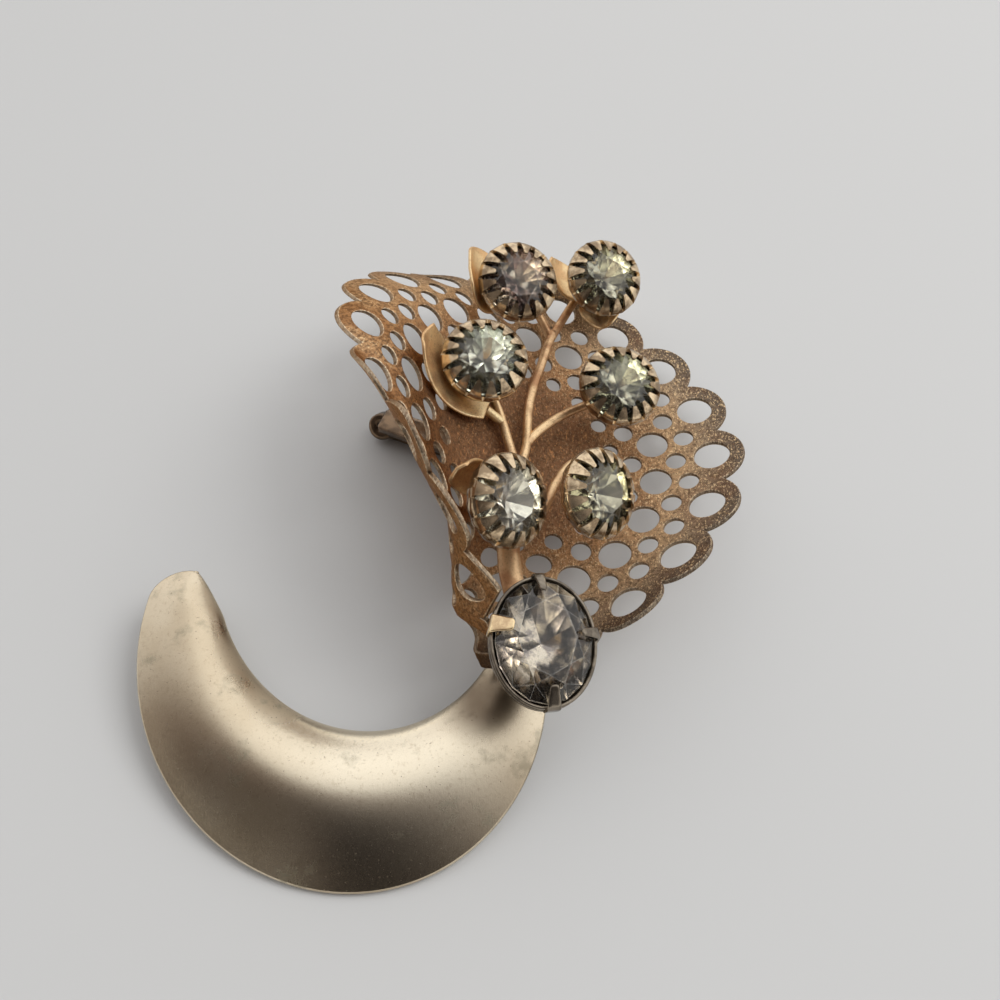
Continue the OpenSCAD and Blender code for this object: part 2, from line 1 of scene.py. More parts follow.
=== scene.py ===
"""Looks of the flower brooch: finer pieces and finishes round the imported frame.

Lengths are in millimetres until a piece is made, and angles in degrees. The points and bends are
those of the part's own source.
"""
import math

import bmesh
import bpy
import numpy as np
from mathutils import Matrix, Vector


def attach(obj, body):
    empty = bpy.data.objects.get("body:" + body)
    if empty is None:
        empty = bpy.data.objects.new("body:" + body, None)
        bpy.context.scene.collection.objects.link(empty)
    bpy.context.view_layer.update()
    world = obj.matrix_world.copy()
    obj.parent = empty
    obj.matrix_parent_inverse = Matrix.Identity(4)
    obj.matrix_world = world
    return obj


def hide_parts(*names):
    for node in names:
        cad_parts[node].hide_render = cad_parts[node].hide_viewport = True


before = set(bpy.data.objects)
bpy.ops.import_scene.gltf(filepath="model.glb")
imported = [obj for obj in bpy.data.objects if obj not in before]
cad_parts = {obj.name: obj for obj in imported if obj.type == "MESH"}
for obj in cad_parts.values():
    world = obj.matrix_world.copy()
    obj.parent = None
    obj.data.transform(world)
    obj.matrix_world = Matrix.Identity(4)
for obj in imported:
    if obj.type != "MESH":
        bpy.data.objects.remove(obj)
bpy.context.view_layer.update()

MM = 0.001

# Sizes shared with the part's source, in millimetres and degrees

CRESCENT_R = 16.3
BAY_R = 11.9
BAY_OFFSET = 7.0
BAY_BEARING = 76.4
# The outer edge and the bay are drawn out by this much along one bearing
STRETCH = 1.115
STRETCH_BEARING = 122
DOME_H = 2.6
CRESCENT_T = 0.6
CRESCENT_SLOPE = 10
CRESCENT_FOOT = np.array([-9.3, -29.35, 0.0])
LEFT_END = 76.4
RIGHT_END = 77
# Left horn's rounded end: length in degrees, squareness, lean towards the bay, least width
CAP_TURN = 11.9
CAP_POWER = 1.7
CAP_LEAN = 0.064
CAP_LEAST = 0.01
# How far the crest of the dome lies towards the bay, and how the dome falls off towards the horns
DOME_SKEW = 0.75
DOME_TAPER = 1.5

SCALLOPS = 19
LACE_T = 0.5
CONE_HALF = 41
CONE_RISE = 38.5
CONE_BEARING = 19.5
SHEET_ROLL = 35.7
CONE_POINT = np.array([6.3, -14.4, 4.6])
PATTERN_REACH = 21.3
CROWN_R = 21.1
VALLEY_R = 19.1
SECTOR = 360 / SCALLOPS
# How far, from how near the point and between which turns the fold at the foot is pushed out
FOLD_OUT = 3.4
FOLD_REACH = 15
FOLD_FLAT = 8
FOLD_FROM = 10
FOLD_TO = 150
# Left wall: the turns over which it sets in, the slant from which it leans and how softly, its lean and
# how fast that falls off again
WALL_FROM = 30
WALL_TO = 52
LEAN_START = 20
LEAN_SOFT = 4
WALL_LEAN = np.array([0.087, 0.291, 0.0])
WALL_RETURN = np.array([0.0053, 0.0107, 0.0])
# Lip of the left wall: where it starts, the stretch over which it sets in, how it curls over, and the
# turns over which it fades out
LIP_R = 12.5
LIP_START = 14
LIP_GROWTH = 8
LIP_CURL = np.array([-0.029, 0.007, -0.063])
LIP_FROM = 98
LIP_TO = 122
# Rows of holes: distance from the middle, half sectors from the scallop's axis, radius
HOLE_ROWS = [
    (18.2, 0, 1.60), (16.1, 1, 0.90), (14.95, 0, 0.90),
    (13.15, 1, 1.42), (10.95, 0, 0.88), (9.15, 1, 0.72)]

ROUND_D = 6.5
CUP_R = ROUND_D / 2 + 0.5
CUP_DEPTH = 2.2
NECK = 0.9
OVAL_W = 7.4
OVAL_L = 9.3
OVAL_RIM = 0.38
# Round stones: middle of the girdle, lean, bearing of the lean, turn about itself
FLOWERS = [
    ((5.37, 22.1, 11.2), 28, -56, 4),
    ((13.9, 25.6, 8.0), 29, -56, 11),
    ((2.4, 11.65, 12.8), 17, -58, 0),
    ((14.5, 12.1, 8.5), 19, -52, 8),
    ((4.4, -2.7, 13.5), 46, -28, 3),
    ((11.8, -0.3, 10.5), 44, -29, 7)]
OVAL = ((6.95, -13.3, 11.0), 13, -38, 42)

# Spray: sizes of its wire, trunk and leaves, and the points that its wires pass
WIRE_R = 0.42
TRUNK_W = 1.9
TRUNK_T = 1.0
LEAF_T = 0.35
GAP = 0.12
FORK = (5.2, 3.8, 7.4)
TRUNK = [(5.6, -10.0, 7.0), (4.7, -6.8, 7.5), (4.4, -4.2, 7.7), (4.6, -0.4, 7.7), FORK]
STEM = [FORK, (6.0, 6.4, 7.2), (6.4, 11.5, 6.7), (7.6, 16.3, 6.3), (8.8, 20.4, 6.1)]
TWIGS = [
    [(8.6, 19.6, 6.1), (7.4, 22.4, 6.4), (5.9, 23.9, 6.8)],
    [(8.6, 19.6, 6.1), (9.8, 22.4, 5.4), (11.2, 25.4, 4.9), (12.3, 26.9, 4.8)],
    [FORK, (4.5, 6.6, 7.4), (3.5, 9.9, 8.0), (2.4, 12.2, 8.75)],
    [(6.05, 6.8, 7.15), (7.4, 8.5, 6.9), (9.5, 10.5, 6.3), (12.4, 12.6, 5.3)],
    [(4.6, -0.6, 7.7), (3.2, -0.5, 8.6), (2.1, -0.8, 10.2)],
    [(4.6, -2.6, 7.7), (6.2, -1.8, 7.4), (7.5, 0.3, 7.2), (8.6, 2.9, 7.1), (9.9, 4.5, 7.3),
     (11.3, 4.6, 7.4), (11.3, 2.4, 7.3)]]
# Leaves: point on its wire, foot of its blade, bearing, first climb, curl, roll about the climb,
# length, width, depth of its cup
LEAVES = [
    ((4.9, 23.5, 8.0), (4.42, 23.79, 8.79), 188, 10, 79, -18, 6.3, 6.4, 0.1),
    ((12.7, 26.9, 5.0), (12.5, 26.9, 5.1), 180, 1, 62, 7, 5.2, 5.0, 0.45),
    ((12.7, 26.9, 5.0), (13.6, 26.6, 4.9), -87, -14, 12, 4, 4.3, 4.0, 0.7),
    ((3.9, 8.7, 7.7), (2.42, 9.15, 9.07), 161, 18.5, 57, 19.6, 9.15, 6.1, 0.42),
    ((2.6, -0.65, 9.4), (3.1, -0.4, 10.5), 155, 47, 65, -39, 7.4, 3.1, 0.2)]

# Pin fitting: the middle of its eye, the bearing and length of its bar, its stem and its catch
EYE = (-7.6, 12.6, 1.5)
EYE_R = 1.3
EYE_HOLE = 0.43
EYE_W = 1.4
EYE_TILT = 40
PIN_BEARING = -22
PIN_LEN = 20
STEM_D = 0.9
BAR_W = 2.4
BAR_TOP = 2.95
BAR_T = 1.1
CATCH_L = 1.4


# Points and directions

UP = np.array([0.0, 0.0, 1.0])


def sin(degrees):
    return np.sin(np.radians(degrees))


def cos(degrees):
    return np.cos(np.radians(degrees))


def unit(v):
    return v / np.maximum(np.linalg.norm(v, axis=-1, keepdims=True), 1e-12)


def turned(axis, degrees):
    return np.array(Matrix.Rotation(math.radians(degrees), 3, axis))


def spin_of(row):
    """A stone's turn about itself, then its lean, then the bearing of the lean."""
    _, lean, bearing, turn = row
    return turned("Z", bearing) @ turned("Y", lean) @ turned("Z", turn)


def placed(points, row):
    """Points of a piece whose girdle is at its own origin, put where a row says."""
    return np.asarray(points) @ spin_of(row).T + np.array(row[0])


def round_about(radius, z, turns):
    """Points at some turns round the upright axis. radius and z may change from turn to turn."""
    return np.stack([radius * cos(turns), radius * sin(turns), z + 0 * turns], -1)


def smooth(path, steps):
    """Curve through given points, with a few steps in each span."""
    path = np.array(path, float)
    last = len(path) - 1
    curve = []
    for i in range(last):
        p0, p1, p2, p3 = path[max(i - 1, 0)], path[i], path[i + 1], path[min(i + 2, last)]
        for t in np.arange(steps) / steps:
            curve.append(0.5 * (2 * p1 + (p2 - p0) * t + (2 * p0 - 5 * p1 + 4 * p2 - p3) * t**2
                                + (3 * p1 - p0 - 3 * p2 + p3) * t**3))
    return np.array(curve + [path[last]])


# Meshes

def join(parts):
    """One list of points and one of faces from several."""
    points, faces, start = [], [], 0
    for part_points, part_faces in parts:
        points.append(part_points)
        faces += [[i + start for i in face] for face in part_faces]
        start += len(part_points)
    return np.vstack(points), faces


def make(name, points, faces, finishes, replaces,
         which=None, flat=False, crease=None, bevel=0, notes=None):
    """Makes a piece that stands for a CAD node. which gives each face its finish, edges bent by more
    than crease degrees stay sharp, bevel is the width of a worn facet edge, which takes the third
    finish, and notes are numbers kept on the points for the finish."""
    mesh = bpy.data.meshes.new(name)
    mesh.from_pydata((np.asarray(points) * MM).tolist(), [], [list(f) for f in faces])
    for finish in finishes:
        mesh.materials.append(finish)
    if which is not None:
        mesh.polygons.foreach_set("material_index", which)
    for key, values in (notes or {}).items():
        mesh.attributes.new(key, "FLOAT", "POINT").data.foreach_set("value", values)
    if bevel:
        draft = bmesh.new()
        draft.from_mesh(mesh)
        worn = [e for e in draft.edges if all(f.material_index == 0 for f in e.link_faces)]
        bmesh.ops.bevel(draft, geom=worn, offset=bevel * MM, segments=1, affect="EDGES", material=2)
        draft.to_mesh(mesh)
        draft.free()
    mesh.polygons.foreach_set("use_smooth", [not flat] * len(mesh.polygons))
    if crease:
        mesh.set_sharp_from_angle(angle=math.radians(crease))
    mesh.update()
    piece = bpy.data.objects.new(name, mesh)
    bpy.context.scene.collection.objects.link(piece)
    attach(piece, "root")
    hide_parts(replaces)


def shell(middle, thickness, rounds=4):
    """A sheet of a thickness round a grid of points, with a rounded edge all round."""
    rows, cols = middle.shape[:2]
    normal = unit(np.cross(np.gradient(middle, axis=0), np.gradient(middle, axis=1)))
    count = rows * cols
    place = np.arange(count).reshape(rows, cols)
    quads = [[place[i, j], place[i + 1, j], place[i + 1, j + 1], place[i, j + 1]]
             for i in range(rows - 1) for j in range(cols - 1)]
    faces = quads + [[k + count for k in reversed(q)] for q in quads]
    loop = np.concatenate([place[:-1, 0], place[-1, :-1], place[:0:-1, -1], place[0, :0:-1]])
    flat_middle, flat_normal = middle.reshape(-1, 3), normal.reshape(-1, 3)
    edge, up = flat_middle[loop], flat_normal[loop]
    out = unit(np.cross(np.roll(edge, -1, axis=0) - np.roll(edge, 1, axis=0), up))
    half = thickness / 2
    points = [flat_middle + flat_normal * half, flat_middle - flat_normal * half]
    rings = [loop]
    for k in range(1, rounds):
        angle = 90 - 180 * k / rounds
        rings.append(2 * count + (k - 1) * len(loop) + np.arange(len(loop)))
        points.append(edge + out * half * cos(angle) + up * half * sin(angle))
    rings.append(loop + count)
    for upper, lower in zip(rings, rings[1:]):
        for k in range(len(loop)):
            n = (k + 1) % len(loop)
            faces.append([upper[n], upper[k], lower[k], lower[n]])
    return np.vstack(points), faces


def stack(rings, capped=True):
    """A closed skin through a stack of rings of the same count."""
    rings = np.asarray(rings)
    levels, sides = rings.shape[:2]
    faces = []
    for i in range(levels - 1):
        for j in range(sides):
            n = (j + 1) % sides
            faces.append([i * sides + j, i * sides + n, (i + 1) * sides + n, (i + 1) * sides + j])
    if capped:
        faces.append(list(range(sides))[::-1])
        faces.append([(levels - 1) * sides + j for j in range(sides)])
    return rings.reshape(-1, 3), faces


# A direction that no wire starts along
ANY_WAY = (0.3, 0.5, 0.8)


def wire(curve, radii, sides=14, flat=None, upright=None):
    """A wire along a curve. radii has one size for each of its points, flat is a strip's half height, and
    the width of a strip is kept at right angles to the direction upright."""
    curve = np.asarray(curve, float)
    ahead = unit(np.gradient(curve, axis=0))
    across = unit(np.cross(ahead[0], ANY_WAY if upright is None else upright))
    rings = []
    for point, way, radius in zip(curve, ahead, radii):
        if upright is not None:
            across = unit(np.cross(way, upright))
        across = unit(across - way * (across @ way))
        up = np.cross(across, way)
        turn = np.arange(sides) * 360 / sides
        tall = radius if flat is None else flat * radius / max(radii)
        rings.append(point + np.outer(cos(turn), across) * radius - np.outer(sin(turn), up) * tall)
    return stack(rings)


# Finishes

class Flow:
    """What comes out of one shader socket. Arithmetic on it adds Math nodes."""

    def __init__(self, finish, socket):
        self.finish = finish
        self.socket = socket

    def math(self, operation, *values):
        return self.finish.node("ShaderNodeMath", {"operation": operation}, dict(enumerate(values)))

    def __add__(self, other):
        return self.math("ADD", self, other)

    def __sub__(self, other):
        return self.math("SUBTRACT", self, other)

    def __rsub__(self, other):
        return self.math("SUBTRACT", other, self)

    def __mul__(self, other):
        return self.math("MULTIPLY", self, other)

    __radd__ = __add__
    __rmul__ = __mul__

    def at_least(self, least):
        return self.math("MAXIMUM", self, least)

    def between(self, low, high):
        """0 on low's side and 1 on high's, eased between them. low may be the greater of the two."""
        return self.finish.node("ShaderNodeMapRange", {"interpolation_type": "SMOOTHSTEP"},
                                {0: self, 1: low, 2: high})


class Finish:
    """A node tree that is being laid out."""

    def __init__(self, owner):
        owner.use_nodes = True
        self.owner = owner
        self.tree = owner.node_tree

    def node(self, kind, settings=None, values=None, out=0):
        """Adds a node: its settings first, then the values or links of its sockets."""
        made = self.tree.nodes.new(kind)
        for key, value in (settings or {}).items():
            if key == "stops":
                ramp = made.color_ramp.elements
                while len(ramp) < len(value):
                    ramp.new(1.0)
                for element, (place, colour) in zip(ramp, value):
                    element.position = place
                    element.color = (*colour, 1)
            else:
                setattr(made, key, value)
        for key, value in (values or {}).items():
            self.put(made.inputs[key], value)
        return Flow(self, made.outputs[out])

    def put(self, socket, value):
        """Links a flow to a socket, or sets the socket's own value. A colour may leave out its alpha."""
        if isinstance(value, Flow):
            self.tree.links.new(value.socket, socket)
            return
        if socket.type == "RGBA" and len(value) == 3:
            value = (*value, 1)
        socket.default_value = value

    def mix(self, share, first, second):
        """A colour between two, by a share from 0 to 1."""
        return self.node("ShaderNodeMix", {"data_type": "RGBA"}, {0: share, 6: first, 7: second}, out=2)

    def place(self):
        """The point's own place, in millimetres."""
        own = self.node("ShaderNodeTexCoord", out=3)
        return self.node("ShaderNodeVectorMath", {"operation": "SCALE"}, {0: own, "Scale": 1 / MM})

    def stretched(self, place, by):
        """The place with each of its three lengths made longer or shorter, which draws a noise out."""
        return self.node("ShaderNodeVectorMath", {"operation": "MULTIPLY"}, {0: place, 1: by})

    def noise(self, place, scale, detail=3.0, rough=0.55):
        return self.node("ShaderNodeTexNoise", None,
                         {"Vector": place, "Scale": scale, "Detail": detail, "Roughness": rough})

    def near(self, place, spot):
        """1 at a spot, falling to 0 round it. A spot is its middle and the two radii of the fall."""
        middle, inner, outer = spot
        away = self.node("ShaderNodeVectorMath", {"operation": "DISTANCE"}, {0: place, 1: middle}, out=1)
        return away.between(outer, inner)

    def kept(self, key):
        """A number kept on the points of the mesh."""
        return self.node("ShaderNodeAttribute", {"attribute_name": key}, out=2)

    def bump(self, height, depth, strength):
        """The normal of a surface with this height map on it, so many millimetres deep."""
        return self.node("ShaderNodeBump", None,
                         {"Strength": strength, "Distance": depth * MM, "Height": height})


class Metal(Finish):
    """A finish of one Principled surface, metal or glass, made under a name."""

    def __init__(self, name):
        super().__init__(bpy.data.materials.new(name))
        self.surface = self.tree.nodes["Principled BSDF"]

    def wear(self, **values):
        """Puts values on the surface's own sockets, named with an underscore for each space."""
        for key, value in values.items():
            self.put(self.surface.inputs[key.replace("_", " ")], value)
        return self.owner


# Spots on the metal: the middle, and the radii between which the effect falls off
# A painted highlight: a broad lighter spot on the crest of the crescent's dome
CREST_PAINTED_HIGHLIGHT = ((-4.6, -21.5, 4.5), 3, 11)
# Sooty where the lace is joined on, and painted shade under the oval
SOOT_AND_SHADE_JOINT = ((2.4, -15.4, 4.2), 1.0, 4.8)
WORN_HORN = [
    ((-20.1, -7.1, 3.5), 0.8, 3.2), ((-17.6, -11.6, 3.5), 0.8, 3.2), ((-14.3, -15.4, 3.5), 0.8, 3.2)]
# Sooty at the lace's foot, and painted shade there under the oval
SOOT_AND_SHADE_FOOT = ((3.0, -13.6, 5.0), 1.2, 4.6)
BRIGHT_FORK = ((4.6, 6.5, 7.6), 3.0, 8.0)
# Painted shade on the crescent: spot, strength, colour. Shade under the oval, a dark reflection low on
# the outer edge, shade on the left tip's edge
PAINTED_SHADE_SPOTS = [
    (((5.2, -21.3, 1.8), 0.5, 5.0), 0.5, (0.34, 0.27, 0.19)),
    (((-6.0, -30.5, 1.0), 2.0, 7.5), 0.6, (0.46, 0.37, 0.27)),
    (((-20.7, -5.7, 3.4), 0.3, 1.7), 0.6, (0.27, 0.20, 0.13))]


def satin_gold():
    """Champagne sheet: fine brushed grain, worn speckles, dark pits and patches of tarnish, sooty where
    the lace is joined on, with painted shade there under the oval, painted shade and a painted dark
    reflection in a few spots, and a painted highlight on its crest."""
    f = Metal("satin_gold")
    place = f.place()
    cloud = f.noise(place, 0.16, 3.0)
    speckle = f.noise(place, 2.6, 4.0, 0.7)
    grain = f.noise(f.stretched(place, (1.0, 0.35, 0.3)), 8.0, 4.0, 0.75)
    pits = f.noise(place, 5.5, 2.0, 0.5).between(0.68, 0.76)
    tarnish = f.noise(place, 0.28, 4.0, 0.65).between(0.56, 0.74)
    joint_soot_and_shade = f.near(place, SOOT_AND_SHADE_JOINT)
    worn_horn = sum(f.near(place, spot) for spot in WORN_HORN)
    tint = f.mix(cloud.between(0.35, 0.65), (0.64, 0.535, 0.385), (0.72, 0.62, 0.465))
    # Painted highlight on the crest
    tint = f.mix(f.near(place, CREST_PAINTED_HIGHLIGHT), tint, (0.84, 0.75, 0.59))
    tint = f.mix(speckle.between(0.52, 0.72) * 0.30, tint, (0.38, 0.29, 0.19))
    tint = f.mix(tarnish * 0.55, tint, (0.26, 0.25, 0.18))
    tint = f.mix(pits * 0.7, tint, (0.14, 0.10, 0.07))
    # Soot and painted shade at the joint under the oval
    tint = f.mix(joint_soot_and_shade * (cloud * 0.5 + 0.60), tint, (0.15, 0.11, 0.075))
    # Painted shade and a painted dark reflection, in spots
    for spot, strength, colour in PAINTED_SHADE_SPOTS:
        tint = f.mix(f.near(place, spot) * strength, tint, colour)
    rough = 0.13 + grain * 0.17 + tarnish * 0.14 + pits * 0.2 + joint_soot_and_shade * 0.15 + worn_horn * 0.22
    return f.wear(Base_Color=tint, Metallic=1.0, Roughness=rough,
                  Normal=f.bump(grain + speckle * 0.5 - pits * 0.3, 0.011, 0.5))


# Colour of the lace, from the middle of its pattern to its rim
LACE_HUES = [
    (0.0, (0.25, 0.13, 0.068)), (0.36, (0.29, 0.15, 0.078)), (0.52, (0.50, 0.28, 0.135)),
    (0.72, (0.58, 0.385, 0.22)), (0.84, (0.37, 0.27, 0.18)), (0.93, (0.20, 0.155, 0.118)),
    (1.0, (0.13, 0.107, 0.09))]


def lace_copper():
    """Stamped sheet with a coarse grain that carries painted glints and reflections: copper in the trough
    and on the lip, tan outside, dark at the rim, worn and painted with a highlight along its edges,
    painted shade on its cut walls and the lip, sooty and in painted shade at its foot."""
    f = Metal("lace_copper")
    place = f.place()
    reach = f.kept("reach")
    side = f.kept("side")
    lip = f.kept("lip")
    patch = f.noise(place, 0.22, 4.0, 0.6)
    grit = f.noise(place, 2.8, 5.0, 0.8)
    fine = f.noise(f.stretched(place, (1.3, 0.7, 1.0)), 4.6, 4.0, 0.8)
    # spark and glint are painted glints and reflections of the grain: orange in the trough, pale gold
    # further out
    spark = f.noise(f.stretched(place, (1.0, 0.45, 1.0)), 3.1, 4.0, 0.85).between(0.55, 0.66)
    outer = reach.between(0.30, 0.62)
    glint = fine.between(0.54, 0.62)
    # worn marks the pale edges: wear, and a painted highlight
    worn = fine.between(0.42, 0.6) * 0.7 + lip * 0.15
    hue = f.node("ShaderNodeValToRGB", {"stops": LACE_HUES}, {0: reach + patch * 0.16 - 0.08})
    hue = f.mix(patch.between(0.45, 0.7) * 0.45, hue, (0.26, 0.125, 0.065))
    hue = f.mix(grit.between(0.46, 0.60) * 0.65, hue, (0.09, 0.055, 0.035))
    hue = f.mix(glint * (outer * 0.6 + 0.2), hue, (1.0, 0.74, 0.43))
    hue = f.mix(spark * (1 - outer * 0.8) * 0.65, hue, (0.90, 0.46, 0.19))
    # On the lip, darker copper: partly its own tone, partly painted shade
    hue = f.mix(lip * patch.between(0.38, 0.54) * 0.8, hue, (0.34, 0.165, 0.072))
    hue = f.mix(lip * grit.between(0.44, 0.58) * 0.65, hue, (0.09, 0.05, 0.03))
    # The rounded edges made pale: wear, and a painted highlight
    hue = f.mix(side.between(0.02, 0.3) * worn, hue, (0.95, 0.78, 0.55))
    # The cut walls of the holes and the rim made darker: painted shade
    hue = f.mix(side.between(0.5, 1.0) * 0.6, hue, (0.13, 0.10, 0.075))
    # Soot and painted shade at the foot
    hue = f.mix(f.near(place, SOOT_AND_SHADE_FOOT) * 0.85, hue, (0.075, 0.05, 0.035))
    rough = 0.44 - glint * 0.2 + grit * 0.1 - lip * 0.2
    return f.wear(Base_Color=hue, Metallic=0.88, Specular_Tint=(0.72, 0.48, 0.32), Roughness=rough,
                  Normal=f.bump((grit + fine * 0.8) * (1 - lip * 0.65), 0.09, 1.0))


def wire_gold(name, dull, light):
    """Coppery drawn wire and leaf: dull in patches, bright round the fork of the spray."""
    f = Metal(name)
    place = f.place()
    patch = f.noise(place, 0.55, 3.0)
    grit = f.noise(place, 6.0, 3.0, 0.7)
    share = patch.between(0.38, 0.60) * 0.6 + f.near(place, BRIGHT_FORK) * 0.55
    tint = f.mix(share, dull, light)
    tint = f.mix(grit.between(0.50, 0.70) * 0.5, tint, (0.26, 0.15, 0.08))
    return f.wear(Base_Color=tint, Metallic=0.82, Specular_Tint=(0.86, 0.66, 0.46),
                  Roughness=0.28 + grit * 0.20, Normal=f.bump(grit, 0.03, 0.6))


def pale_gold(name="pale_gold", light=(0.70, 0.545, 0.36), dull=(0.22, 0.15, 0.09)):
    """Polished claws and cups with dark tarnish in patches."""
    f = Metal(name)
    place = f.place()
    patch = f.noise(place, 0.7, 4.0, 0.6)
    grit = f.noise(place, 7.0, 2.0)
    tint = f.mix(patch.between(0.40, 0.60) * 0.85, light, dull)
    return f.wear(Base_Color=tint, Metallic=0.86, Roughness=0.08 + patch * 0.14 + grit * 0.06,
                  Normal=f.bump(grit, 0.008, 0.4))


GLASS_IOR = 1.56


def clear_glass(name, tint, rough=0.0):
    """The cut face of a stone."""
    return Metal(name).wear(Base_Color=tint, Roughness=rough, IOR=GLASS_IOR, Transmission_Weight=1.0)


def foil(name, point, bright, dull, scale):
    """The stone's silvered back: bright foil, darkened in patches, but painted bright round a point as a
    glint.
    """
    f = Metal(name)
    place = f.place()
    patch = f.noise(place, scale, 3.0, 0.6)
    painted_glint = f.near(place, (tuple(point), 0.5, 2.4))
    tint = f.mix(patch.between(0.42, 0.60) * (1 - painted_glint * 0.8), bright, dull)
    return f.wear(Base_Color=tint, Metallic=1.0, Roughness=0.05 + patch * 0.16)


def worn_edge(name):
    """A worn facet edge: whitish and a little dull, still mostly clear."""
    return Metal(name).wear(Base_Color=(0.88, 0.87, 0.83), Roughness=0.22, IOR=GLASS_IOR,
                            Transmission_Weight=0.8)


# Crescent

def bay_edge(angle):
    """Distance of the bay's edge from the middle of the outer edge."""
    return BAY_OFFSET * cos(angle) + np.sqrt(BAY_R**2 - (BAY_OFFSET * sin(angle))**2)


def crescent():
    """The domed sheet, from its rounded left horn to its cut right end."""
    across, cap, along = 40, 16, 150
    start, end = LEFT_END + CAP_TURN, 360 - RIGHT_END
    angles = np.concatenate([start - CAP_TURN * cos(np.linspace(0, 90, cap, endpoint=False)),
                             np.linspace(start, end, along)])[:, None]
    share = (1 - cos(np.linspace(0, 180, across))) / 2
    spare = np.maximum(start - angles, 0) / CAP_TURN
    rim = CRESCENT_T / 2
    full = CRESCENT_R - bay_edge(angles)
    middle = (CRESCENT_R + bay_edge(angles)) / 2 - CAP_LEAN * full * spare**2
    width = full * np.maximum(1 - spare**CAP_POWER, CAP_LEAST)**(1 / CAP_POWER)
    height = DOME_H * (width / (CRESCENT_R - bay_edge(180)))**DOME_TAPER
    distance = middle + (share - 0.5) * np.maximum(width - 2 * rim, 0.1)
    bearing = BAY_BEARING + angles
    flat = np.stack([distance * cos(bearing), distance * sin(bearing)], -1)
    way = np.array([cos(STRETCH_BEARING), sin(STRETCH_BEARING)])
    flat = flat + (STRETCH - 1) * (flat @ way)[..., None] * way
    flat[..., 1] += CRESCENT_R * np.sqrt(1 + (STRETCH**2 - 1) * way[1]**2)
    rise = height * sin(180 * share**DOME_SKEW) + rim
    grid = np.concatenate([flat, rise[..., None]], -1)
    grid = grid @ turned("X", CRESCENT_SLOPE).T + CRESCENT_FOOT
    points, faces = shell(grid[:, ::-1], CRESCENT_T, 6)
    make("crescent_sheet", points, faces, [satin_gold()], "crescent")


# Lace

CONE_WAY = np.array([sin(CONE_BEARING), cos(CONE_BEARING), 0.0])
CONE_AXIS = CONE_WAY * cos(CONE_RISE) + UP * sin(CONE_RISE)
CONE_LOW = CONE_WAY * sin(CONE_RISE) - UP * cos(CONE_RISE)
CONE_LEFT = np.cross(CONE_AXIS, CONE_LOW)


def eased(share):
    """A share from 0 to 1 that starts and ends gently."""
    share = np.clip(share, 0, 1)
    return share**2 * (3 - 2 * share)


def slant_and_turn(flat):
    """Where flat points come on the cone: distance from its point, and turn from its lowest line."""
    ahead = flat[:, 1] + PATTERN_REACH
    turn = SHEET_ROLL - np.degrees(np.arctan2(flat[:, 0], ahead)) / sin(CONE_HALF)
    return np.hypot(flat[:, 0], ahead), turn


def rolled(flat, lift):
    """Flat points of the pattern, rolled onto the cone and raised off the middle of the sheet. The left
    wall leans back, and its lip curls out."""
    slant, turn = slant_and_turn(flat)
    out = np.outer(cos(turn), CONE_LOW) + np.outer(sin(turn), CONE_LEFT)
    along = CONE_AXIS * cos(CONE_HALF) + out * sin(CONE_HALF)
    inward = CONE_AXIS * sin(CONE_HALF) - out * cos(CONE_HALF)
    share = np.clip((turn - FOLD_FROM) / (FOLD_TO - FOLD_FROM), 0, 1)
    push = FOLD_OUT * np.clip(FOLD_REACH - slant, 0, FOLD_FLAT) / FOLD_FLAT * sin(180 * share)
    wall = eased((turn - WALL_FROM) / (WALL_TO - WALL_FROM))
    up = (slant - LEAN_START + np.hypot(slant - LEAN_START, LEAN_SOFT)) / 2
    lip = (1 - eased((turn - LIP_FROM) / (LIP_TO - LIP_FROM))) * eased((slant - LIP_START) / LIP_GROWTH)
    lip = lip * np.maximum(np.hypot(*flat.T) - LIP_R, 0)**2
    points = CONE_POINT + along * slant[:, None] + inward * lift
    points[:, 0] -= push
    return (points + np.outer(wall * up, WALL_LEAN) - np.outer(wall * up**2, WALL_RETURN)
            + np.outer(wall * lip, LIP_CURL))


# Round scallops through the crowns and valleys of the source's rim
LOBE_SIDE = VALLEY_R * sin(SECTOR / 2)
LOBE_RISE = CROWN_R - VALLEY_R * cos(SECTOR / 2)
LOBE_R = (LOBE_SIDE**2 + LOBE_RISE**2) / (2 * LOBE_RISE)
# Room for the oval setting in its own frame: height and how far it is beyond the stone
ROOM = [(-3.5, -0.7), (-1.4, OVAL_RIM + 0.3), (9.0, OVAL_RIM + 0.3)]
# Foot of the oval setting
FOOT_R = 1.3
FOOT_ROOM = 0.25
FOOT_AT = np.array(OVAL[0]) - np.array([0.7, -0.5, 3.0])
FOOT_BOTTOM = 5.1


def ring_of(radius, half):
    """One point in each sector, at a distance and a number of half sectors from the scallop's axis."""
    angle = (half + 1 + 2 * np.arange(SCALLOPS)) * SECTOR / 2
    return np.stack([radius * sin(angle), -radius * cos(angle)], -1)


